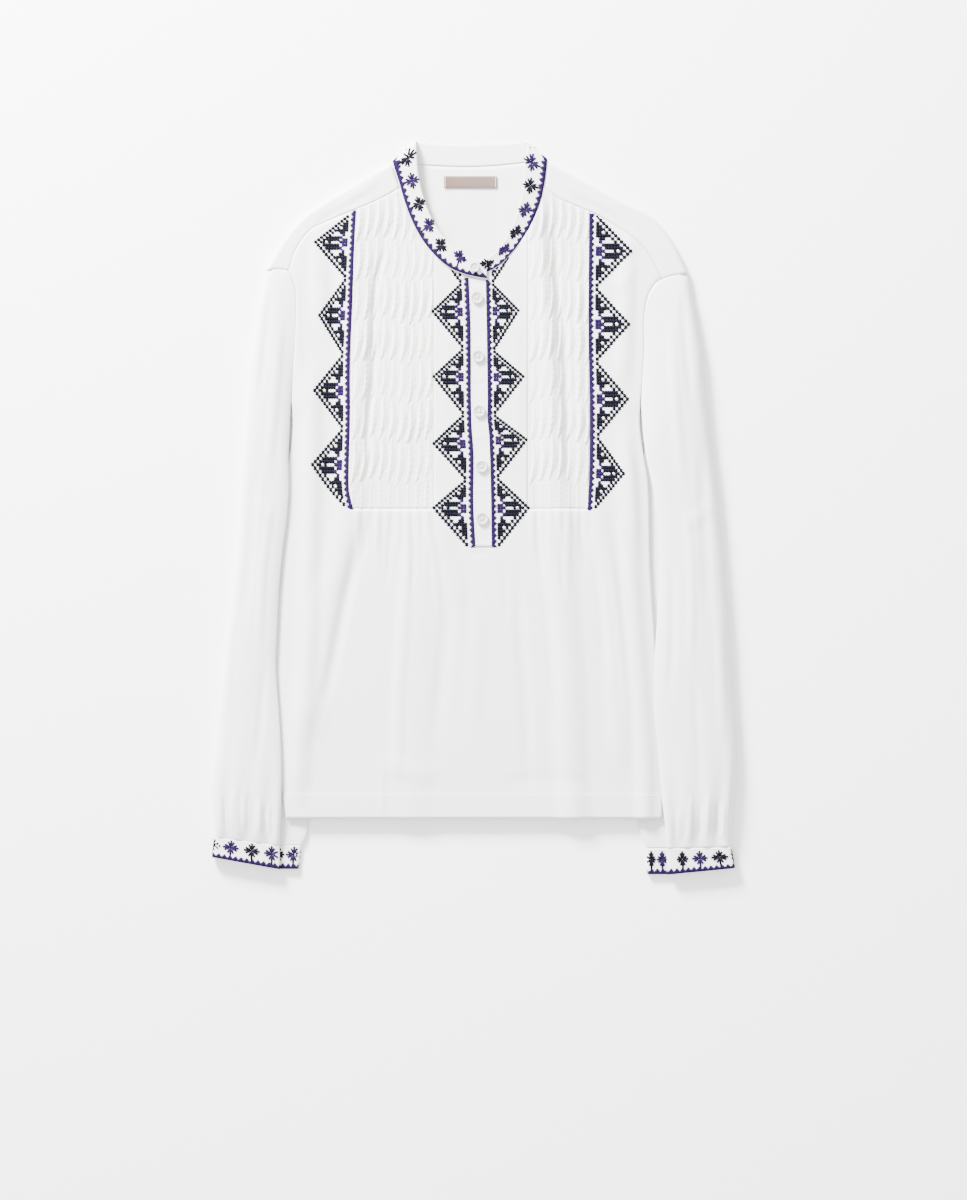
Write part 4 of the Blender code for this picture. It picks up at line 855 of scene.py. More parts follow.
def make_yoke():
    halves = []
    for _, side in SIDES:
        hole = body_hole(side, SHOULDER_GAP)
        table = [np.array(point) for point in signed(side, side["armhole"])]
        at = [int(np.argmin(np.linalg.norm(hole - point, axis=1))) for point in table[:5]]
        shoulder = dense_line(signed(side, side["shoulder"])[:-1] + [tuple(hole[0])], YOKE_ACROSS)
        seam = dense_line(signed(side, side["forward_seam"])[:-1] + [tuple(hole[at[3]])], YOKE_ACROSS)
        back_end = np.array((hole[at[4]][0], BACK_SEAM_Y))
        back_neck = np.array((side["sign"] * YOKE_BACK_HALF, BACK_SEAM_Y))
        low = back_neck + (back_end - back_neck) * np.linspace(0, 1, YOKE_ACROSS + 1)[:, None]
        toward = seam - shoulder
        inward = shoulder + toward * (SHOULDER_ROUND / np.linalg.norm(toward, axis=1))[:, None]
        rim = dense_line(hole[:at[3] + 1], YOKE_FLAP)
        rim_in = dense_line(np.concatenate([[inward[-1]], rim[3:]]), YOKE_FLAP)
        rim_back = np.concatenate([[back_end], hole[:at[4]][::-1][:-at[1] - 2], [inward[-1]]])
        rim_back = dense_line(rim_back, YOKE_UP)
        neck_back = low[0] + (inward[0] - low[0]) * np.linspace(0, 1, YOKE_UP + 1)[:, None]
        neck_flap = inward[0] + (seam[0] - inward[0]) * np.linspace(0, 1, YOKE_FLAP + 1)[:, None]
        back_part = patch(low, inward, neck_back, rim_back)
        flap = patch(inward, seam, neck_flap, rim_in)
        columns = []
        for c in range(YOKE_ACROSS + 1):
            turn = []
            for step in range(1, YOKE_TURN):
                angle = pi * step / YOKE_TURN
                across = inward[c] + (shoulder[c] - inward[c]) * sin(angle)
                turn.append((across[0], across[1], LAY / 2 + WALL / 2 - LAY / 2 * cos(angle)))
            down = [(p[0], p[1], YOKE_Z) for p in back_part[:, c]]
            up = [(p[0], p[1], float(lay(p[0], p[1])) + WALL / 2) for p in flap[:, c]]
            columns.append(np.array(down + turn + up))
        halves.append(columns)
    neck = dense_line([(row[0], row[1]) for row in COLLAR[13:20]], YOKE_NECK)
    middle = []
    for x, y in neck[1:-1]:
        share = (x - neck[0][0]) / (neck[-1][0] - neck[0][0])
        low = np.array((YOKE_BACK_HALF * (2.0 * share - 1.0), BACK_SEAM_Y))
        line = low + (np.array((x, y - SEAM_GAP)) - low) * np.linspace(0, 1, YOKE_UP + 1)[:, None]
        middle.append(np.column_stack([line, np.full(YOKE_UP + 1, YOKE_Z)]))
    columns = halves[0][::-1] + middle + halves[1]
    points, faces, spot = [], [], {}
    for c, column in enumerate(columns):
        for r, point in enumerate(column):
            spot[c, r] = len(points)
            points.append(point)
    for c, (one, two) in enumerate(zip(columns, columns[1:])):
        for r in range(min(len(one), len(two)) - 1):
            faces.append((spot[c, r], spot[c + 1, r], spot[c + 1, r + 1], spot[c, r + 1]))
    points = np.array(points)
    raised = creases_at(YOKE_CREASES, points[:, 0], points[:, 1])
    raised = np.where(points[:, 2] > UPPER_Z, raised * 0.8 + seams_at(points[:, 0], points[:, 1]),
                      np.maximum(raised, 0.0) * 0.7)
    points[:, 2] += raised
    flat = points[:, :2].copy()
    flat[:, 1] += np.where(points[:, 2] > 5.0, 60.0, 0.0)
    return finish_mesh("blouse_yoke", points, faces, flat, "cloth", "yoke")


yoke = make_yoke()

# %% [markdown]
# The collar stands when it is worn and lies folded flat here, so it is one strip of cloth that runs
# from its left end round the back of the neck and returns under itself. A smooth curve through its
# stations gives the strip, and the same grid later tells the embroidery where the cloth is.

# %% The collar band
TUBES = {}
COLLAR_WIDTH = 17.5
COLLAR_ROWS = 12
COLLAR_STEPS = 8            # steps from one station to the next


def make_collar():
    table = np.array(COLLAR, float)
    middle = (table[:, 0:2] + table[:, 2:4]) / 2
    keys = distances(middle)
    at = np.append(between(keys, COLLAR_STEPS), keys[-1])
    line = hermite(keys, table, at)
    v = np.linspace(0.0, 1.0, COLLAR_ROWS + 1)[:, None]
    x = line[:, 0] + (line[:, 2] - line[:, 0]) * v
    y = line[:, 1] + (line[:, 3] - line[:, 1]) * v
    z = line[:, 4] + (line[:, 5] - line[:, 4]) * v
    rise = 0.25 * bump(v - 0.06, 0.1) + 0.25 * bump(v - 0.95, 0.08) + 0.2 * np.sin(at / 9.0) * v * (1 - v)
    z = z + np.where(z > UPPER_Z, rise, 0.0)
    points = np.dstack([x, y, z])
    up = v * COLLAR_WIDTH
    TUBES["collar_band"] = (points, at, up[:, 0])
    flat = np.dstack([np.broadcast_to(at, x.shape), np.broadcast_to(up, x.shape)])
    return finish_mesh("collar_band", points.reshape(-1, 3), grid_faces(*x.shape), flat.reshape(-1, 2),
                       "trim", "collar", COLLAR_CLOTH)


collar = make_collar()

# %% [markdown]
# A sleeve is a tube that lies flat, with one pleat along its inner side: its lower half is tucked
# under the body. A ring table gives its section, a station table gives where the rings are, and a
# smooth curve goes through all the points in both directions.

# %% Sleeves and cuffs
# Columns: place on the armhole, share of the upper width, of the pleat's depth, of the tucked
# width, then the height of the cloth's middle at the seam, as a plain tube and as a pleated one.
SLEEVE_RING = [
    (0.0, 0.000, 0.0, 0.00, 4.15, 5.6, 5.6),
    (1.0, 0.020, 0.0, 0.00, 7.20, 9.4, 9.4),
    (2.0, 0.090, 0.0, 0.00, 7.65, 12.4, 12.4),
    (3.0, 0.210, 0.0, 0.00, 7.65, 14.2, 14.2),
    (4.0, 0.360, 0.0, 0.00, 7.65, 15.0, 15.0),
    (5.0, 0.520, 0.0, 0.00, 7.65, 15.1, 15.1),
    (6.0, 0.680, 0.0, 0.00, 7.65, 14.6, 14.6),
    (7.0, 0.830, 0.0, 0.00, 7.65, 13.6, 13.8),
    (8.0, 0.950, 0.0, 0.00, 7.50, 11.8, 12.0),
    (9.0, 1.000, 0.0, 0.00, 6.60, 9.8, 10.0),
    (9.0, 1.000, 0.5, 0.00, 5.60, 8.2, 8.3),
    (9.0, 1.000, 0.9, 0.00, 4.70, 6.8, 7.7),
    (9.0, 1.000, 1.0, 0.00, 3.80, 5.4, 5.5),
    (9.0, 1.000, 0.9, 0.00, 3.00, 4.1, 3.4),
    (9.0, 1.000, 0.4, 0.00, 2.30, 3.0, 2.95),
    (9.0, 1.000, 0.0, 0.92, 1.80, 1.9, 2.9),
    (8.96, 0.988, 0.0, 1.00, 1.15, 1.1, 1.75),
    (8.80, 0.960, 0.0, 0.95, 0.62, 0.65, 0.6),
    (8.0, 0.890, 0.0, 0.35, 0.60, 0.6, 0.6),
    (7.0, 0.780, 0.0, 0.05, 0.60, 0.6, 0.6),
]
# From there its lower side lies flat on the table
SLEEVE_RING += [(place, share, 0.0, 0.0, 0.6, 0.6, 0.6)
                for place, share in ((6.0, 0.64), (5.0, 0.49), (4.0, 0.34), (3.0, 0.19), (2.0, 0.08))]
SLEEVE_RING += [(0.6, 0.01, 0.0, 0.0, 1.4, 2.0, 2.0)]

# Columns: up of the outer edge, of the inner edge, share of full height, share of the armhole's
# curve that is left, gathers
SLEEVE_STATIONS = [
    (226.5, 103.5, 0.00, 1.00, 0.0),
    (212.0, 88.0, 0.30, 0.52, 0.0),
    (194.0, 73.0, 0.60, 0.24, 0.0),
    (172.0, 62.0, 0.84, 0.08, 0.0),
    (146.0, 50.0, 1.00, 0.00, 0.0),
    (116.0, 36.0, 1.00, 0.00, 0.0),
    (86.0, 18.0, 1.00, 0.00, 0.0),
    (50.0, -8.0, 0.96, 0.00, 0.0),
    (10.0, -40.0, 0.92, 0.00, 0.0),
    (-35.0, -75.0, 0.96, 0.00, 0.0),
    (-80.0, -112.0, 1.00, 0.00, 0.0),
    (-125.0, -150.0, 0.98, 0.00, 0.0),
    (-170.0, -188.0, 0.94, 0.00, 0.0),
    (-210.0, -222.0, 0.94, 0.00, 0.1),
    (-243.0, -252.0, 0.96, 0.00, 0.3),
    (-268.0, -276.0, 0.90, 0.00, 0.7),
    (-288.0, -296.0, 0.72, 0.00, 1.0),
    (-302.0, -310.0, 0.42, 0.00, 1.0),
]

CUFF_LINE = (0.12, 0.5)     # share of full height and gathers where a sleeve meets its cuff
CUFF_ACROSS = 5             # steps between two points of a cuff's ring
PLEAT_OPENS = 4.0
PLEAT_FLAT = 0.5            # share of its height that the pleat keeps where the sleeve is flat
PLEAT_GROWS = 0.55          # and how fast it grows with the sleeve's height
PLEAT_MIDDLE = 2.95
GATHER_HEIGHT = 1.1
LOWER_Z = 1.6               # cloth below this height is the layer on the table
LOWER_SHARE = 0.5           # share of a trough's depth by which that layer lifts
UPPER_BLEND = 3.0
CREASE_FADE = 0.04          # share of the length over which creases fade in at the upper end


def ring(side, outer, inner, tuck, pleat, full, seam_share, gather):
    """One ring of a sleeve or a cuff, as 26 points."""
    points = []
    closed = min(1.0, PLEAT_FLAT + PLEAT_GROWS * full)
    for n, (place, share, pleat_part, tuck_part, z_seam, z_tube, z_pleat) in enumerate(SLEEVE_RING):
        spot = np.array(outer) + (np.array(inner) - np.array(outer)) * share
        depth = max(PLEAT_MIN_DEPTH, float(side["body_edge_at"](inner[1])) + BODY_TO_PLEAT - inner[0])
        spot[0] += pleat * (pleat_part * depth - tuck_part * (inner[0] - tuck))
        k = min(int(place), len(side["armhole"]) - 2)
        hole = np.array(side["armhole"][k]) * (1 - place + k) + np.array(side["armhole"][k + 1]) * (place - k)
        spot = spot + (hole - spot) * seam_share
        height = z_tube + (z_pleat - z_tube) * min(1.0, PLEAT_OPENS * pleat)
        height = z_seam + (height - z_seam) * (full if n < 9 else 1.0 - seam_share)
        if 2 <= n < 9:
            height += gather * GATHER_HEIGHT * (-1) ** n
        if 9 <= n < 14 and pleat == 1.0:
            height = PLEAT_MIDDLE + (height - PLEAT_MIDDLE) * closed
        points.append((side["sign"] * spot[0], spot[1], height))
    return points


def refine(rings, across, lengthwise):
    """Smooth surface through rings of points, with more points both ways."""
    grid = np.array(rings, float)
    closed = np.concatenate([grid, grid[:, :1]], axis=1)
    steps = np.linalg.norm(np.diff(closed, axis=1), axis=2).mean(axis=0)
    keys = np.concatenate([[0.0], np.cumsum(steps)])
    wrap = 3
    long_keys = np.concatenate([keys[-wrap - 1:-1] - keys[-1], keys, keys[1:wrap + 1] + keys[-1]])
    long_grid = np.concatenate([grid[:, -wrap:], closed, grid[:, 1:wrap + 1]], axis=1)
    at = between(keys, across)
    fine = np.stack([hermite(long_keys, row, at) for row in long_grid])
    along = distances(fine.mean(axis=1))
    fine = hermite(along, fine, np.append(between(along, lengthwise), along[-1]))
    return fine, at, keys[-1]


def tube_piece(name, rings, creases, slot, node, across, lengthwise, thickness):
    fine, at, around = refine(rings, across, lengthwise)
    rows, columns = fine.shape[:2]
    x, y, z = fine[..., 0], fine[..., 1], fine[..., 2].copy()
    raised = creases_at(creases, x, y)
    upper = np.clip((z - UPPER_Z) / UPPER_BLEND, 0.0, 1.0)
    lower = np.clip(LOWER_Z - z, 0.0, 1.0)
    down = np.linspace(0.0, 1.0, rows)[:, None]
    z = z + raised * upper * ease(down / CREASE_FADE) + np.maximum(-raised, 0.0) * LOWER_SHARE * lower
    points = np.dstack([x, y, z]).reshape(-1, 3)
    length = distances(fine[:, columns // 6])
    flat = np.dstack([np.broadcast_to(at, x.shape), np.broadcast_to(length[:, None], x.shape)])
    cloth = finish_mesh(name, points, grid_faces(rows, columns, around=True), flat.reshape(-1, 2),
                        slot, node, thickness)
    TUBES[name] = (np.concatenate([points.reshape(rows, columns, 3)] * 2, axis=1)[:, :columns + 1],
                   np.append(at, around), length)
    return cloth


def make_sleeve(name, side):
    rings = []
    for up_outer, up_inner, full, seam_share, gather in SLEEVE_STATIONS:
        outer = (float(side["outer_edge_at"](up_outer)), up_outer)
        inner = (float(side["inner_edge_at"](up_inner)), up_inner)
        if seam_share == 1.0:
            outer, inner = side["armhole"][0], side["armhole"][-1]
        pleat = float(ease((PLEAT_START_Y - up_inner) / (PLEAT_START_Y - PLEAT_FULL_Y)))
        tuck = float(side["tuck_edge_at"](up_inner))
        rings.append(ring(side, outer, inner, tuck, pleat, full, seam_share, gather))
    out, up, inner_out, inner_up, tuck = side["cuff"][0]
    full, gather = CUFF_LINE
    rings.append(ring(side, (out, up + CUFF_GAP), (inner_out, inner_up + CUFF_GAP), tuck, 1.0, full,
                      0.0, gather))
    return tube_piece(f"blouse_sleeve_{name}", rings, SLEEVE_CREASES[name], "cloth",
                      f"sleeve_{name}", 6, 7, CLOTH)


def make_cuff(name, side):
    rings = [ring(side, (out, up), (inner_out, inner_up), tuck, 1.0, CUFF_LINE[0], 0.0, 0.0)
             for out, up, inner_out, inner_up, tuck in side["cuff"]]
    return tube_piece(f"blouse_cuff_{name}", rings, [], "trim", f"cuff_{name}", CUFF_ACROSS, 8, CUFF_CLOTH)


sleeves = {name: make_sleeve(name, side) for name, side in SIDES}
cuffs = {name: make_cuff(name, side) for name, side in SIDES}

# %% [markdown]
# The blouse is fine white cotton. Its weave is far too small to model, so it is a bump on the
# material: two waves at right angles make the threads, and stretched noise makes the thicker
# threads that real cotton has. Several materials need it, so it is one node group that is built
# once. It reads the cloth's own UV map, which is in metres along the threads.

# %% A node group for the weave
def new_group(name, inputs, outputs):
    group = bpy.data.node_groups.new(name, "ShaderNodeTree")
    for label, kind in inputs:
        group.interface.new_socket(label, in_out="INPUT", socket_type=kind)
    for label, kind in outputs:
        group.interface.new_socket(label, in_out="OUTPUT", socket_type=kind)
    return group, group.nodes.new("NodeGroupInput"), group.nodes.new("NodeGroupOutput")


def maths(tree, operation, first, second=None):
    """A Math node whose values are numbers or sockets; gives its output."""
    node = tree.nodes.new("ShaderNodeMath")
    node.operation = operation
    for socket, value in zip(node.inputs, (first, second)):
        if isinstance(value, (int, float)):
            socket.default_value = value
        elif value is not None:
            tree.links.new(value, socket)
    return node.outputs[0]


def wave(tree, axis, factor):
    return maths(tree, "SINE", maths(tree, "MULTIPLY", axis, factor))


def half_up(tree, swing):
    """A value that runs from -1 to 1, brought to 0 to 1."""
    return maths(tree, "ADD", maths(tree, "MULTIPLY", swing, 0.5), 0.5)


def set_inputs(node, values):
    for label, value in values.items():
        node.inputs[label].default_value = value


def add_node(tree, kind, vector=None, values=None):
    """A node that reads a vector, if one is given, with some input values."""
    node = tree.nodes.new(kind)
    if vector is not None:
        tree.links.new(vector, node.inputs["Vector"])
    set_inputs(node, values or {})
    return node


def make_weave():
    group, given, result = new_group("plain weave", [("Coordinates", "NodeSocketVector"),
                                                     ("Threads", "NodeSocketFloat")],
                                     [("Weave", "NodeSocketFloat"), ("Slubs", "NodeSocketFloat")])
    place, threads = given.outputs["Coordinates"], given.outputs["Threads"]
    axes = add_node(group, "ShaderNodeSeparateXYZ", place).outputs
    warp, weft = [wave(group, axis, maths(group, "MULTIPLY", threads, pi)) for axis in axes[:2]]
    group.links.new(half_up(group, maths(group, "MULTIPLY", warp, weft)), result.inputs[0])
    noises = []
    for stretch in ((40.0, 1300.0, 1.0), (1300.0, 40.0, 1.0)):
        turn = add_node(group, "ShaderNodeMapping", place, {"Scale": stretch})
        noise = add_node(group, "ShaderNodeTexNoise", turn.outputs[0], {"Scale": 1.0, "Detail": 2.0})
        noises.append(noise.outputs["Fac"])
    slubs = maths(group, "ADD", noises[0], noises[1])
    group.links.new(maths(group, "MULTIPLY", slubs, 0.5), result.inputs[1])
    return group


weave = make_weave()
print("node group:", weave.name)

# %% Cotton for each kind of piece
def start_material(name, color, roughness):
    finish = bpy.data.materials.new(name)
    finish.use_nodes = True
    shader = finish.node_tree.nodes["Principled BSDF"]
    set_inputs(shader, {"Base Color": (*color, 1), "Roughness": roughness})
    return finish, finish.node_tree, shader


def tint(tree, shader, factor, first, second, low=0.35, high=0.65):
    """Base colour that runs from first to second with the factor."""
    ramp = tree.nodes.new("ShaderNodeValToRGB")
    for stop, position, color in zip(ramp.color_ramp.elements, (low, high), (first, second)):
        stop.position = position
        stop.color = (*color, 1)
    tree.links.new(factor, ramp.inputs[0])
    tree.links.new(ramp.outputs[0], shader.inputs["Base Color"])


def relief(tree, shader, height, strength, distance):
    ridge = add_node(tree, "ShaderNodeBump", values={"Strength": strength, "Distance": distance})
    tree.links.new(height, ridge.inputs["Height"])
    tree.links.new(ridge.outputs[0], shader.inputs["Normal"])


def cloth_coordinates(tree):
    place = tree.nodes.new("ShaderNodeUVMap")
    place.uv_map = "cloth"
    return place.outputs[0]


def cotton(name, light, shade, threads, strength):
    finish, tree, shader = start_material(name, light, 0.86)
    set_inputs(shader, {"Sheen Weight": 0.12, "Sheen Roughness": 0.5, "Specular IOR Level": 0.3})
    woven = tree.nodes.new("ShaderNodeGroup")
    woven.node_tree = weave
    woven.inputs["Threads"].default_value = threads
    tree.links.new(cloth_coordinates(tree), woven.inputs["Coordinates"])
    height = maths(tree, "ADD", maths(tree, "MULTIPLY", woven.outputs["Weave"], 0.5), woven.outputs["Slubs"])
    relief(tree, shader, height, strength, 0.00012)
    tint(tree, shader, woven.outputs["Slubs"], shade, light)
    return finish


LOOKS = {
    "cloth": cotton("fine white cotton", (0.745, 0.747, 0.742), (0.715, 0.717, 0.710), 2600.0, 0.35),
    "tucks": cotton("tucked cotton", (0.735, 0.735, 0.722), (0.705, 0.705, 0.690), 2400.0, 0.45),
    "trim": cotton("close-woven cotton", (0.760, 0.761, 0.757), (0.730, 0.731, 0.725), 3000.0, 0.4),
}
for piece in PIECES.values():
    piece.data.materials.append(LOOKS[piece["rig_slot"]] if "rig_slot" in piece else LOOKS["cloth"])
print(len(LOOKS), "cottons on", len(PIECES), "pieces")

# %% [markdown]
# Embroidery floss is a loose bundle of twisted strands. Its dark colours look nearly matte in soft
# light. The stitches carry a UV map that runs along the thread, and a slanted wave on it gives the
# twist. The same wave also sets the colour: darker in the grooves between the strands and lighter on
# their ridges, which is painted shade and painted highlight.

# %% Threads
def floss(name, groove_shade, light, roughness):
    finish, tree, shader = start_material(name, light, roughness)
    set_inputs(shader, {"Specular IOR Level": 0.08})
    axes = add_node(tree, "ShaderNodeSeparateXYZ", cloth_coordinates(tree)).outputs
    slant = maths(tree, "ADD", maths(tree, "MULTIPLY", axes[0], 4200.0),
                  maths(tree, "MULTIPLY", axes[1], 16000.0))
    strands = half_up(tree, maths(tree, "SINE", slant))
    relief(tree, shader, strands, 0.4, 0.00006)
    # Painted shade and highlight: the colour follows the twist's height, darkest in its grooves.
    tint(tree, shader, strands, groove_shade, light, 0.0, 1.0)
    return finish


# Each floss: name, colour painted as shade in the grooves of the twist, colour painted as highlight on its
# ridges, roughness
FLOSS = [floss("blue-black floss", (0.0008, 0.0008, 0.003), (0.002, 0.002, 0.008), 0.75),
         floss("purple floss", (0.0075, 0.0018, 0.021), (0.014, 0.004, 0.042), 0.75),
         floss("cream floss", (0.66, 0.62, 0.50), (0.74, 0.70, 0.58), 0.6),
         floss("white sewing thread", (0.72, 0.72, 0.70), (0.80, 0.80, 0.78), 0.6)]
print(len(FLOSS), "threads")

# %% [markdown]
# The embroidery is counted thread work in purple and blue-black. Each dot of the triangles is one
# cross stitch and each border is a row of satin stitches. It could be painted on as a texture, but
# then it would look printed from near by. Here every stitch is one small raised bar of thread, with
# only sixteen triangles, because there are thousands of them. A bar asks the finished cloth where it
# is, so it follows every fold.

# %% A helper that lays one stitch
THREADS = {"K": 0, "P": 1, "G": 2, "W": 3}
STITCH_FOOT = 0.15          # how far a bar reaches into the cloth
MOST_LIFT = 0.35            # most that the cloth's bulge below its middle can lift it
CROSS_WIDTH = 2.0
CROSS_HEIGHT = 0.36
BAR_TRIANGLES = 16          # triangles that the faces below make
BAR_FACES = [(0, 1, 6, 5), (1, 2, 7, 6), (0, 5, 8, 3), (2, 4, 9, 7), (3, 8, 9, 4), (0, 3, 4, 2, 1),
             (5, 6, 7, 9, 8)]


def thread_work():
    return {"points": [], "faces": [], "coords": [], "threads": []}


def bar(work, place, start, end, width, height, thread, lift=0.0):
    """One stitch from start to end: thread with a low roof, closed below. Off the cloth there is none."""
    found = place(*start), place(*end)
    if None in found:
        return
    (a, up_a), (b, up_b) = found
    middle = place((start[0] + end[0]) / 2, (start[1] + end[1]) / 2)
    if middle is not None:
        lift += min(MOST_LIFT, max(0.0, (middle[0] - (a + b) / 2).dot(up_a)))
    run = b - a
    side = up_a.cross(run).normalized() * (width / 2)
    slope = run * min(0.25, 0.2 * width / run.length)
    first = len(work["points"])
    for spot, up, inset, at in ((a, up_a, slope, 0.0), (b, up_b, -slope, run.length)):
        foot, eave = spot - up * STITCH_FOOT, spot + up * (lift + height * 0.5)
        work["points"] += [foot - side, foot + side, eave + side, eave - side,
                           spot + inset + up * (lift + height)]
        work["coords"] += [(at, -width / 2), (at, width / 2), (at, width / 2), (at, -width / 2), (at, 0.0)]
    work["faces"] += [tuple(first + n for n in face) for face in BAR_FACES]
    work["threads"] += [THREADS[thread]] * len(BAR_FACES)


def cross(work, place, x, y, half_x, half_y, thread):
    """Two bars, of which the second lies over the first."""
    for way, lift in ((1, 0.0), (-1, 0.12)):
        rise = half_y * way
        bar(work, place, (x - half_x, y - rise), (x + half_x, y + rise), CROSS_WIDTH, CROSS_HEIGHT, thread,
            lift)


def finish_work(work, name):
    mesh = bpy.data.meshes.new(name)
    mesh.from_pydata([tuple(point * MM) for point in work["points"]], [], work["faces"])
    for thread in FLOSS:
        mesh.materials.append(thread)
    mesh.polygons.foreach_set("material_index", work["threads"])
    add_uv(mesh, work["coords"])
    mesh.shade_smooth()
    piece = new_object(name, mesh)
    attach(piece, "root")
    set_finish(piece, "trim")
    count = len(work["faces"]) // len(BAR_FACES)
    print(name, count, "stitches,", count * BAR_TRIANGLES, "triangles")
    return piece


# %% Two ways to find the cloth
ABOVE = 60.0                # where the look down on the cloth starts


def top_of(*cloths):
    """Function that gives the highest cloth at (x, y) and its upward normal."""
    trees = [BVHTree.FromPolygons([v.co / MM for v in cloth.data.vertices],
                                  [face.vertices for face in cloth.data.polygons]) for cloth in cloths]

    def place(x, y):
        best, best_up = None, None
        for tree in trees:
            hit, up, _, _ = tree.ray_cast(Vector((x, y, ABOVE)), Vector((0.0, 0.0, -1.0)))
            if hit is not None and (best is None or hit.z > best.z):
                best, best_up = hit, up
        if best is None:
            return None
        return best, best_up if best_up.z > 0 else -best_up
    return place


def on_tube(name, thickness):
    """Function that gives a place on the outer side of a band, from its distances round and along."""
    points, arounds, lengths = TUBES[name]

    def spot_at(around, along):
        c = int(np.clip(np.searchsorted(arounds, around, side="right") - 1, 0, len(arounds) - 2))
        r = int(np.clip(np.searchsorted(lengths, along, side="right") - 1, 0, len(lengths) - 2))
        s = (around - arounds[c]) / (arounds[c + 1] - arounds[c])
        t = (along - lengths[r]) / (lengths[r + 1] - lengths[r])
        p = points[r:r + 2, c:c + 2]
        low, high = p[0, 0] * (1 - s) + p[0, 1] * s, p[1, 0] * (1 - s) + p[1, 1] * s
        up = np.cross((p[0, 1] - p[0, 0]) * (1 - t) + (p[1, 1] - p[1, 0]) * t, high - low)
        return low * (1 - t) + high * t, up / np.linalg.norm(up)

    outward = 1.0 if spot_at(arounds[-1] * 0.15, lengths[-1] / 2)[1][2] > 0 else -1.0

    def place(around, along):
        if not 0.0 <= around <= arounds[-1] and name != "collar_band":
            around %= arounds[-1]
        spot, up = spot_at(around, along)
        return Vector(spot + up * outward * thickness / 2), Vector(up * outward)
    return place


# %% [markdown]
# The triangles come from a chart, as a needleworker would have it: each letter is one cross, K for
# blue-black, k for a smaller one, P for purple and G for a light dot. It is a traditional kind of
# border. Its rows run along the border and its columns away from it. The hands of the maker show in
# that no two triangles on the cloth are the same size, so each one has its own tip and its own valleys.

# %% Triangles and borders of the front
TRIANGLE = ["K", ".K", "k.K", "Kk.K", "KKk.K", "KKGk.K", "KKKKk.K", ".KK..k.K", ".P....k.K",
            "..PKKKKk.K", "PP.KKKKKk.K", "PPP...KGKk.K"]
TRIANGLE += TRIANGLE[-2::-1]
# For each border: its line, the distance of the triangles' base from it, valleys, tips
BORDERS = {
    "outer_left": ([(-113.0, 282.1), (-114.9, 244.1), (-116.8, 190.9), (-118.8, 137.8), (-118.8, 84.5),
                    (-119.7, 50.3), (-119.7, 18.1), (-115.9, 0.0)], -5.2,
                   [278.3, 218.5, 146.3, 76.0, 1.9],
                   [(-150.1, 252.7), (-146.3, 183.3), (-151.0, 112.1), (-152.9, 41.8)]),
    "outer_right": ([(110.6, 281.2), (109.7, 172.9), (111.1, 103.5), (111.1, 50.3), (110.2, 23.8),
                     (108.8, -0.9)], 5.2,
                    [278.3, 209.9, 139.7, 68.4, 0.0],
                    [(148.2, 244.1), (146.3, 174.8), (145.3, 104.0), (141.5, 33.2)]),
    "placket_left": ([(-6.6, 221.4), (-4.8, 172.9), (-3.8, 84.5), (-1.9, 50.3), (-1.9, 5.7),
                      (0.0, -36.1)], -5.6,
                     [282.0, 213.8, 152.0, 89.3, 27.5, -36.1],
                     [(-38.9, 248.9), (-38.9, 187.1), (-38.0, 125.4), (-38.0, 61.8), (-38.0, 0.9)]),
    "placket_right": ([(12.3, 221.6), (13.3, 172.9), (14.2, 103.5), (14.2, 84.5), (15.7, 68.4),
                       (17.1, 23.8), (18.1, -36.1)], 4.6,
                      [282.0, 213.8, 150.1, 89.3, 29.4, -36.1],
                      [(39.9, 248.9), (41.8, 188.1), (46.5, 125.4), (49.4, 65.5), (51.3, 0.9)]),
}
STITCH_STEP = 1.1
SATIN_WIDTH = 1.35
SATIN_HEIGHT = 0.4
BORDER_HALF = 1.35
BORDER_TOOTH = 2.6
TOOTH_PITCH = 5.55
TIP_ROW = 11                # row of the chart with the triangle's tip
TIP_REACH = 11.5            # columns from the base to the tip
ROW_REACH = 11.7            # rows from a valley to the tip
CROSS_SIZES = {"G": 0.75, "k": 0.92}
front_place = top_of(front, insert_left, insert_right, placket)
over_collar = top_of(collar)


def clear_of_collar(x, y):
    return over_collar(x, y) is None


def border(work, place, line, half, tooth, pitch, free=None):
    """A row of satin stitches along a line; a minus tooth puts the teeth on its right."""
    long = float(step_lengths(line).sum())
    count = int(long / STITCH_STEP)
    spots = dense_line(line, count)
    left_of = aside(spots, 1.0) - spots
    way = 1.0 if tooth >= 0 else -1.0
    for n, spot in enumerate(spots):
        share = n * long / count / pitch % 1.0
        reach = half + abs(tooth) * (1.0 - abs(2.0 * share - 1.0))
        if free is None or free(*spot):
            bar(work, place, spot - left_of[n] * half * way, spot + left_of[n] * reach * way, SATIN_WIDTH,
                SATIN_HEIGHT, "P", 0.1)


def triangle(work, place, base_at, top, tip, low):
    cell_x = (tip[0] - base_at(tip[1])) / TIP_REACH
    for row, stitches in enumerate(TRIANGLE):
        end = top if row <= TIP_ROW else low
        y = tip[1] + (end - tip[1]) * (abs(row - TIP_ROW) / ROW_REACH)
        half_y = abs(end - tip[1]) / ROW_REACH * 0.49
        for column, thread in enumerate(stitches):
            x = base_at(y) + cell_x * (column + 0.5)
            if thread != "." and clear_of_collar(x, y):
                size = CROSS_SIZES.get(thread, 1.0)
                cross(work, place, x, y, abs(cell_x) * 0.47 * size, half_y * size, thread.upper())


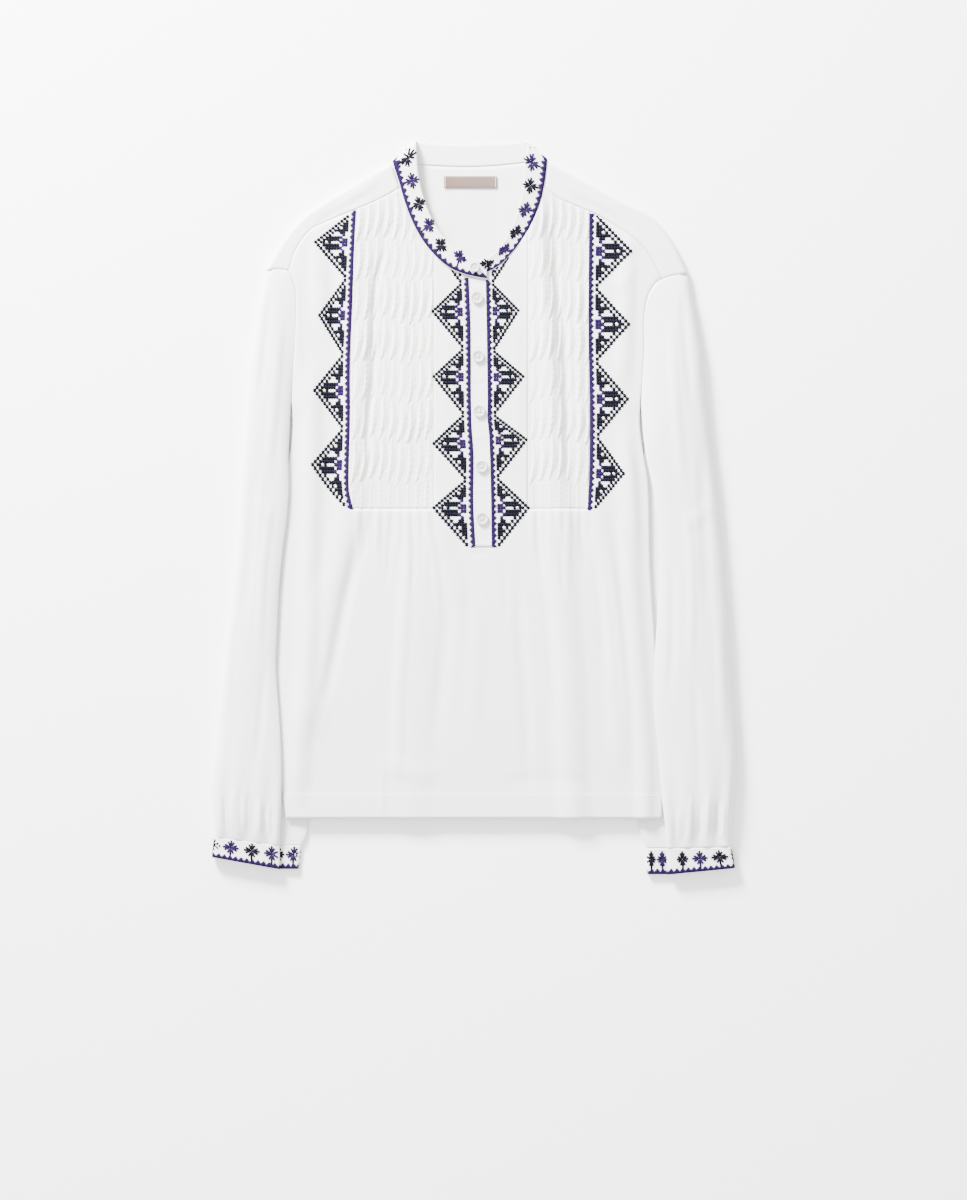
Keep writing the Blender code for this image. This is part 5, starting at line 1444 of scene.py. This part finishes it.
def make_border(name):
    line, base, valleys, tips = BORDERS[name]
    work = thread_work()
    line_at = curve([(y, x) for x, y in line])
    # The line runs from the top down, so its left side is towards +x
    tooth = BORDER_TOOTH if base > 0 else -BORDER_TOOTH
    border(work, front_place, line, BORDER_HALF, tooth, TOOTH_PITCH, clear_of_collar)
    for top, low, tip in zip(valleys, valleys[1:], tips):
        triangle(work, front_place, lambda y: float(line_at(y)) + base, top, tip, low)
    return finish_work(work, f"embroidery_{name}")


needlework = {name: make_border(name) for name in BORDERS}

# %% [markdown]
# The collar and the cuffs carry a row of small flakes between the cloth's free side and a toothed
# border. A flake is four arms of three stitches, and a stem ties it to the border. Most likely they
# go all the way round the real bands, so the hidden ones are here too, at the same spacing.

# %% Flakes and borders of the collar
FLAKE_PITCH = 22.4
FLAKE_WIDE = 7.4            # reach of a flake's arms round a band
FLAKE_TALL = 6.0            # and across its width
HIDDEN_FLAKE_UP = 11.3
SHORTEST_RUN = 0.3          # below it a stitch counts as running straight along the band
# Columns: x, y, thread, from the collar's left end round to its right one
COLLAR_FLAKES = [
    (12.3, 231.8, "K"), (-13.3, 238.4, "P"), (-31.3, 249.8, "K"), (-42.8, 268.8, "P"),
    (-52.2, 288.8, "K"), (-58.9, 310.6, "P"), (-62.7, 332.5, "K"),
    (54.6, 327.8, "P"), (53.2, 305.9, "K"), (48.4, 283.1, "P"), (39.4, 262.2, "K"),
    (28.5, 245.6, "P"), (12.3, 231.8, "K"),
]
ARM_TURNS = [(1, 0), (0, 1), (-1, 0), (0, -1)]


def within(start, end, low, high):
    """The part of a stitch between two distances round the band; outside them it has no length."""
    a, b = (min(max(point[0], low), high) for point in (start, end))
    run = end[0] - start[0]
    if abs(a - b) < SHORTEST_RUN < abs(run) or not low < (a + b) / 2 < high:
        return start, start
    if abs(run) <= SHORTEST_RUN:
        return start, end
    slope = (end[1] - start[1]) / run
    return (a, start[1] + slope * (a - start[0])), (b, start[1] + slope * (b - start[0]))


def flake(work, place, around, along, wide, tall, thread, stem_to, limit=None):
    """Four arms of three stitches round a centre, a light dot, and a stem to the border."""
    def spot(turn, out, beside):
        return (around + (turn[0] * out - turn[1] * beside) * wide,
                along + (turn[1] * out + turn[0] * beside) * tall)

    stitches = []
    for turn in ARM_TURNS:
        stitches.append((spot(turn, 0.0, 0.0), spot(turn, 1.06, 0.0), 1.9, 0.42))
        for beside in (-1, 1):
            stitches.append((spot(turn, 0.26, 0.1 * beside), spot(turn, 0.8, 0.39 * beside), 1.9, 0.38))
    stitches.append(((around, along + (stem_to - along) * 0.5), (around, stem_to), 1.7, 0.34))
    for start, end, width, height in stitches:
        if limit is not None:
            start, end = within(start, end, *limit)
        if start != end:
            bar(work, place, start, end, width, height, thread, 0.15)
    if thread == "K" and (limit is None or limit[0] + 1 < around < limit[1] - 1):
        bar(work, place, (around - 0.5, along), (around + 0.5, along), 0.9, 0.5, "G")


def nearest(name, place, x, y, keep):
    """Distances round and along of the place on a band that lies nearest to (x, y)."""
    points, arounds, lengths = TUBES[name]
    far = np.hypot(points[..., 0] - x, points[..., 1] - y) + np.where(keep(points), 0.0, 1e6)
    r, c = np.unravel_index(int(np.argmin(far)), far.shape)
    best = (1e9, 0.0, 0.0)
    for around in np.linspace(arounds[c] - 2.4, arounds[c] + 2.4, 17):
        for along in np.linspace(lengths[r] - 1.6, lengths[r] + 1.6, 11):
            spot, _ = place(float(around), float(along))
            best = min(best, (float(np.hypot(spot.x - x, spot.y - y)), float(around), float(along)))
    return best[1], best[2]


def line_round(total, along, first, short):
    """Line round a band, from first to short of its end."""
    return [(first, along), (total / 2, along), (total - short, along)]


def make_collar_work():
    work = thread_work()
    place = on_tube("collar_band", COLLAR_CLOTH)
    _, arounds, _ = TUBES["collar_band"]
    end = float(arounds[-1])
    border(work, place, line_round(end, 1.85, 0.6, 0.6), 1.05, 3.0, 6.1)
    found = []
    for n, (x, y, thread) in enumerate(COLLAR_FLAKES):
        half = slice(None, arounds.size // 2) if n < 7 else slice(arounds.size // 2, None)
        side = np.zeros(arounds.size, bool)
        side[half] = True
        around, along = nearest("collar_band", place, x, y,
                                lambda points: (points[..., 2] > 4.0) & side[None, :])
        found.append(around)
        flake(work, place, around, along, FLAKE_WIDE, FLAKE_TALL, thread, 2.9, (0.2, end - 0.2))
    start, stop = found[6], found[7]
    hidden = 2 * round(((stop - start) / FLAKE_PITCH - 1) / 2)
    for n in range(hidden):
        around = start + (stop - start) * (n + 1) / (hidden + 1)
        flake(work, place, around, HIDDEN_FLAKE_UP, FLAKE_WIDE, FLAKE_TALL, "PK"[n % 2], 2.9)
    # Tips that curl over the top edge behind the neck, where only dots of them show
    for x, y, reach_x, reach_y in ((-13.3, 345.2, 0.0, 0.9), (6.4, 344.8, 0.0, 1.0), (29.0, 345.8, 0.0, 1.0),
                                   (50.2, 346.6, 1.0, -1.4), (52.6, 343.2, 1.1, -1.6)):
        bar(work, over_collar, (x, y), (x + reach_x, y + reach_y), 1.3, 0.3, "K")
    print("collar:", hidden, "hidden flakes,", round(end), "mm long")
    return finish_work(work, "embroidery_collar")


needlework["collar"] = make_collar_work()

# %% Flakes and borders of the cuffs
CUFF_FLAKE_PITCH = 19.0
CUFF_FLAKE_TALL = 6.7
# The flakes that show on top and on the tucked part, from the outer side in. Columns: distance from
# the middle line, share of the full width, thread
CUFF_FLAKES = {
    "left": ([(230.7, 1.0, "P"), (210.7, 1.0, "K"), (191.7, 0.95, "P")],
             [(185.6, 0.7, "K"), (171.4, 0.95, "P")]),
    "right": ([(233.0, 1.03, "K"), (214.2, 0.96, "P"), (197.6, 0.72, "K")],
              [(178.6, 0.66, "P"), (168.2, 0.58, "K")]),
}


def arc_at(name, out, part):
    """Distance round a cuff of the place that is out from the middle line, on top or tucked."""
    points, arounds, _ = TUBES[name]
    first, last = (0, 9 * CUFF_ACROSS) if part == "top" else (14 * CUFF_ACROSS, 16 * CUFF_ACROSS)
    reach = np.abs(points[points.shape[0] // 2, first:last + 1, 0])
    return float(np.interp(-out, -reach, arounds[first:last + 1]))


def make_cuff_work(name):
    tube = f"blouse_cuff_{name}"
    work = thread_work()
    place = on_tube(tube, CUFF_CLOTH)
    _, arounds, lengths = TUBES[tube]
    total, edge = float(arounds[-1]), float(lengths[-1])
    border(work, place, line_round(total, edge - 2.1, 0.0, STITCH_STEP), 1.1, -3.0, 5.3)
    top, tucked = CUFF_FLAKES[name]
    row = [(arc_at(tube, out, "top"), wide, thread) for out, wide, thread in top]
    row += [(arc_at(tube, out, "tucked"), wide, thread) for out, wide, thread in tucked]
    start, stop = row[-1][0], total + row[0][0]
    hidden = 2 * round((stop - start) / CUFF_FLAKE_PITCH / 2) - 1
    other = {"K": "P", "P": "K"}
    thread = row[-1][2]
    for n in range(hidden):
        thread = other[thread]
        row.append((start + (stop - start) * (n + 1) / (hidden + 1), 1.0, thread))
    for around, wide, thread in row:
        flake(work, place, around, edge - 13.3, FLAKE_WIDE * wide, CUFF_FLAKE_TALL, thread, edge - 3.2)
    if name == "right":
        border(work, place, [(1.2, 3.0), (1.3, 10.0), (1.2, edge - 2.0)], 0.8, 0.0, 5.3)
    print("cuff", name, "is", round(total), "mm round and", round(edge, 1), "mm deep")
    return finish_work(work, f"embroidery_cuff_{name}")


for cuff_name in cuffs:
    needlework[f"cuff_{cuff_name}"] = make_cuff_work(cuff_name)

# %% [markdown]
# Seams and hems of a blouse are sewn with white thread, in stitches of about 2.5 mm with a short
# gap. They barely show, but they are what makes an edge look sewn. They are laid with the same bar
# as the embroidery, along lines that keep a small distance from each seam.

# %% Topstitching
def run_of_stitches(work, place, line, long=2.5, gap=0.7):
    total = float(step_lengths(line).sum())
    count = max(int(total / (long + gap)), 1)
    spots = dense_line(line, count)
    for a, b in zip(spots, spots[1:]):
        bar(work, place, a, a + (b - a) * long / (long + gap), 0.5, 0.14, "W")


def make_topstitching():
    work = thread_work()
    shown = top_of(front, insert_left, insert_right, placket, yoke)
    hem_top = HEM_Y + HEM_DEPTH - 1.5
    run_of_stitches(work, shown, [(-LEFT["body_edge_at"](hem_top) + 3, hem_top),
                                  (RIGHT["body_edge_at"](hem_top) - 3, hem_top)])
    for _, side in SIDES:
        seam = np.array(signed(side, side["forward_seam"][:-1]))
        run_of_stitches(work, shown, aside(seam, 1.8 * side["sign"]))
        run_of_stitches(work, shown, [(band_x(side, y) - side["sign"] * 1.9, y) for y in (2.0, 276.0)])
        hole = np.array(signed(side, side["armhole"][3:-1]))
        run_of_stitches(work, shown, aside(hole, -1.8 * side["sign"]))
    run_of_stitches(work, shown, [(-112.0, 2.0), (STRIP_LEFT_X - 1, 2.0)])
    run_of_stitches(work, shown, [(STRIP_RIGHT_X + 1, 2.0), (105.0, 2.0)])
    run_of_stitches(work, shown, [(2.0, PLACKET_END_Y + 2.4), (15.6, PLACKET_END_Y + 2.4)])
    bands = [("collar_band", COLLAR_CLOTH, COLLAR_WIDTH - 1.2, 1.0, 1.0)]
    bands += [(f"blouse_cuff_{name}", CUFF_CLOTH, 1.4, 0.0, 3.0) for name in cuffs]
    for tube, thickness, along, first, short in bands:
        total = float(TUBES[tube][1][-1])
        run_of_stitches(work, on_tube(tube, thickness), line_round(total, along, first, short))
    return finish_work(work, "topstitching")


needlework["topstitching"] = make_topstitching()

# %% [markdown]
# The buttons are small pearly discs with a raised rim and four holes, sewn on with a cross of
# thread. One is modelled as by hand: a cylinder whose top is inset and pushed down for the rim,
# with its edges bevelled and the holes cut through. The others are copies with meshes of their own.

# %% A button modelled as by hand
BUTTON_RADIUS = 5.6
COLLAR_BUTTON_RADIUS = 4.3
BUTTON_HEIGHT = 2.0
HOLE_RADIUS = 0.72
HOLE_REACH = 1.25
EDGE_WIDTH = 0.5
RIM_WIDTH = 0.75
RIM_DEPTH = 0.35
DISH_SLOPE = 0.9
DISH_DEPTH = 0.25


def pick_faces(piece, test):
    """In edit mode, select the faces for which the test on (centre, normal) in millimetres holds."""
    bpy.ops.mesh.select_mode(type="FACE")
    bpy.ops.mesh.select_all(action="DESELECT")
    mesh = bmesh.from_edit_mesh(piece.data)
    for face in mesh.faces:
        face.select_set(test(face.calc_center_median() / MM, face.normal))
    bmesh.update_edit_mesh(piece.data)


def cylinder(radius, depth, sides, place=(0.0, 0.0, 0.0)):
    bpy.ops.object.select_all(action="DESELECT")
    bpy.ops.mesh.primitive_cylinder_add(vertices=sides, radius=radius * MM, depth=depth * MM,
                                        location=[value * MM for value in place])
    return bpy.context.object


def extrude(x, z):
    """Extrude the selected faces by so many millimetres."""
    bpy.ops.mesh.extrude_region_move(TRANSFORM_OT_translate={"value": (x * MM, 0, z * MM)})


def make_button():
    button = cylinder(BUTTON_RADIUS, BUTTON_HEIGHT, 48)
    bpy.ops.object.mode_set(mode="EDIT")
    pick_faces(button, lambda centre, normal: normal.z > 0.9)
    bpy.ops.mesh.inset(thickness=EDGE_WIDTH * MM)
    bpy.ops.mesh.inset(thickness=RIM_WIDTH * MM)
    extrude(0, -RIM_DEPTH)
    bpy.ops.mesh.inset(thickness=DISH_SLOPE * MM)
    bpy.ops.transform.translate(value=(0, 0, -DISH_DEPTH * MM))
    bpy.ops.object.mode_set(mode="OBJECT")
    soft = button.modifiers.new("Soft edges", "BEVEL")
    soft.width = 0.28 * MM
    soft.segments = 2
    soft.limit_method = "ANGLE"
    bpy.ops.object.modifier_apply(modifier="Soft edges")
    for x, y in ((1, 1), (-1, 1), (-1, -1), (1, -1)):
        drill = cylinder(HOLE_RADIUS, BUTTON_HEIGHT * 2, 14, (x * HOLE_REACH, y * HOLE_REACH, 0.0))
        bpy.context.view_layer.objects.active = button
        cut = button.modifiers.new("Hole", "BOOLEAN")
        cut.object = drill
        bpy.ops.object.modifier_apply(modifier="Hole")
        bpy.data.objects.remove(drill)
    select_only(button)
    bpy.ops.object.shade_smooth_by_angle(angle=0.7)
    return button


def make_pearl():
    """Pearly plastic: faint cloudy bands under a glossy skin."""
    finish, tree, shader = start_material("pearly button", (0.70, 0.69, 0.66), 0.24)
    set_inputs(shader, {"Coat Weight": 0.4, "Coat Roughness": 0.1})
    place = tree.nodes.new("ShaderNodeTexCoord").outputs["Object"]
    clouds = add_node(tree, "ShaderNodeTexNoise", place, {"Scale": 420.0, "Detail": 4.0, "Distortion": 1.5})
    tint(tree, shader, clouds.outputs["Fac"], (0.42, 0.42, 0.40), (0.62, 0.60, 0.56))
    relief(tree, shader, clouds.outputs["Fac"], 0.15, 0.0001)
    return finish


pearl = make_pearl()
first_button = make_button()
print("button:", len(first_button.data.polygons), "faces")

# %% Copies of the button, each on its place
buttons = {}
button_thread = thread_work()
for node in [f"button_{n}" for n in range(1, 6)] + ["button_collar"]:
    low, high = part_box(node)
    radius = COLLAR_BUTTON_RADIUS if node == "button_collar" else BUTTON_RADIUS
    copy = new_object(f"pearl_{node}", first_button.data.copy())
    middle = Vector(((low[0] + high[0]) / 2, (low[1] + high[1]) / 2, low[2] + BUTTON_HEIGHT * MM / 2))
    for vertex in copy.data.vertices:
        spread = radius / BUTTON_RADIUS
        vertex.co = middle + Vector((vertex.co.x * spread, vertex.co.y * spread, vertex.co.z))
    copy.data.materials.append(pearl)
    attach(copy, "root")
    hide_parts(node)
    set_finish(copy, "button")
    buttons[node] = copy
    reach = HOLE_REACH * radius / BUTTON_RADIUS
    for x, y in ((1, 1), (-1, 1)):
        def on_button(a, b, at=middle / MM):
            return Vector((at.x + a, at.y + b, at.z + 0.42)), Vector((0, 0, 1))
        bar(button_thread, on_button, (-x * reach, -y * reach), (x * reach, y * reach), 0.6, 0.3, "W")
bpy.data.objects.remove(first_button)
needlework["button_thread"] = finish_work(button_thread, "button_thread")

# %% [markdown]
# A woven ribbon is sewn inside the back of the neck. It stays bare here. A thin slab, whose short
# ends are folded under and whose face dips a little between its stitches, is enough for it.

# %% The neck ribbon
RIBBON_END = 1.6            # length of the folded end
RIBBON_STEP = 0.3           # length of the slope up to it
RIBBON_RISE = 0.16
RIBBON_CLOTH = 0.38


def make_ribbon():
    low, high = (np.array(corner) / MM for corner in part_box("label"))
    size = high - low
    middle = (low + high) / 2
    bpy.ops.object.select_all(action="DESELECT")
    bpy.ops.mesh.primitive_cube_add(size=1.0, location=Vector((middle[0], middle[1], low[2] + 0.2)) * MM,
                                    scale=Vector((size[0] - 2 * RIBBON_END, size[1], RIBBON_CLOTH)) * MM)
    ribbon = bpy.context.object
    ribbon.name = "neck_ribbon"
    bpy.ops.object.transform_apply(location=True, rotation=True, scale=True)
    bpy.ops.object.mode_set(mode="EDIT")
    for way in (-1, 1):
        pick_faces(ribbon, lambda centre, normal: normal.x * way > 0.9)
        extrude(way * RIBBON_STEP, RIBBON_RISE)
        extrude(way * (RIBBON_END - RIBBON_STEP), 0)
    bpy.ops.mesh.select_all(action="SELECT")
    bpy.ops.mesh.bevel(offset=0.07 * MM, segments=2)
    bpy.ops.mesh.select_all(action="SELECT")
    bpy.ops.mesh.subdivide(number_cuts=3)
    bpy.ops.object.mode_set(mode="OBJECT")
    for vertex in ribbon.data.vertices:
        x, y, _ = vertex.co / MM
        vertex.co.z += (0.10 * sin(x / 5.3 + 0.8) + 0.06 * sin(y / 2.1 + x / 9.0)) * MM
    select_only(ribbon)
    bpy.ops.object.shade_smooth_by_angle(angle=0.8)
    return ribbon


def make_ribbon_finish():
    finish, tree, shader = start_material("pink-brown ribbon", (0.115, 0.07, 0.052), 0.6)
    set_inputs(shader, {"Sheen Weight": 0.1})
    place = tree.nodes.new("ShaderNodeTexCoord").outputs["Object"]
    axes = add_node(tree, "ShaderNodeSeparateXYZ", place).outputs
    ribs = wave(tree, axes[1], 2 * pi / 0.0006)
    strands = wave(tree, axes[0], 2 * pi / 0.0004)
    satin = half_up(tree, maths(tree, "MULTIPLY", ribs, strands))
    relief(tree, shader, satin, 0.5, 0.0001)
    # Painted shade and highlight: the colour follows the weave's height, darker where its threads dip and
    # lighter on the raised ones.
    tint(tree, shader, satin, (0.10, 0.06, 0.045), (0.14, 0.088, 0.067), 0.2, 0.8)
    return finish


ribbon = make_ribbon()
ribbon.data.materials.append(make_ribbon_finish())
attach(ribbon, "root")
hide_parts("label")
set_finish(ribbon, "label")
ribbon_thread = thread_work()
over_ribbon = top_of(ribbon)
for x_end in (-27.2, 20.5):
    for y_row in np.arange(305.6, 314.6, 1.9):
        bar(ribbon_thread, over_ribbon, (x_end, y_row), (x_end, y_row + 1.3), 0.45, 0.16, "W")
needlework["ribbon_thread"] = finish_work(ribbon_thread, "ribbon_thread")
print("ribbon:", len(ribbon.data.polygons), "faces")

# %% [markdown]
# The size that each cloth piece was cut to is listed here, and its cloth area is printed beside the
# area of its cut. The sizes are what shows here plus the fullness of the tucks and gathers.

# %% What each piece was cut to
# Columns: piece, width, length, area of the cut, and what it lies on
CUTS = [
    (front, 0.380, 0.580, 0.162, ["blouse_back"]),
    (insert_left, 0.098, 0.300, 0.0285, ["blouse_front"]),
    (insert_right, 0.073, 0.300, 0.0215, ["blouse_front"]),
    (back, 0.380, 0.507, 0.180, []),
    (yoke, 0.400, 0.150, 0.046, ["blouse_back"]),
    (placket, 0.019, 0.255, 0.0048, ["placket_underlap"]),
    (underlap, 0.017, 0.252, 0.0042, ["blouse_front"]),
    (collar, 0.0185, 0.420, 0.0077, ["blouse_front", "blouse_yoke"]),
    (sleeves["left"], 0.200, 0.550, 0.086, []),
    (sleeves["right"], 0.215, 0.560, 0.098, []),
    (cuffs["left"], 0.176, 0.0230, 0.0040, []),
    (cuffs["right"], 0.176, 0.0245, 0.0043, []),
    (ribbon, 0.0505, 0.0116, 0.00058, ["blouse_back", "blouse_yoke"]),
]
for piece, width, length, area, below in CUTS:
    measured = cloth_area(piece)
    print(piece.name, round(measured, 4), "square metres, cut", area, "share", round(measured / area, 2))
    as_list(below)

# %% [markdown]
# The blouse lies on a pale table under soft light from the upper left, and the camera looks
# straight down, as in a shop's photograph.

# %% Stage, light and camera
VIEW_HEIGHT = 1.14
CAMERA_HEIGHT = 3.2
SENSOR_HEIGHT = 36.0
FRAME_CENTRE = (0.009, -0.0865)

bpy.ops.mesh.primitive_plane_add(size=8.0, location=(0, 0, -0.0006))
floor = bpy.context.object
floor.name = "floor"
floor.data.materials.append(start_material("pale paper", (0.97, 0.97, 0.975), 0.9)[0])


def soft_light(name, location, size, power):
    data = bpy.data.lights.new(name, "AREA")
    data.shape = "SQUARE"
    data.size = size
    data.energy = power
    lamp = new_object(name, data)
    lamp.location = location
    lamp.rotation_euler = (-Vector(location)).to_track_quat("-Z", "Y").to_euler()


soft_light("key", (-1.3, 2.1, 1.15), 0.7, 700)
soft_light("fill", (-1.4, 0.2, 2.4), 2.2, 25)
world = bpy.data.worlds.new("studio")
world.use_nodes = True
set_inputs(world.node_tree.nodes["Background"], {"Color": (1, 1, 1, 1), "Strength": 2.35})
bpy.context.scene.world = world

camera_data = bpy.data.cameras.new("camera")
camera_data.sensor_fit = "VERTICAL"
camera_data.sensor_height = SENSOR_HEIGHT
camera_data.lens = SENSOR_HEIGHT * CAMERA_HEIGHT / VIEW_HEIGHT
camera_data.clip_end = 50.0
camera = new_object("camera", camera_data)
camera.location = (*FRAME_CENTRE, CAMERA_HEIGHT)
bpy.context.scene.camera = camera
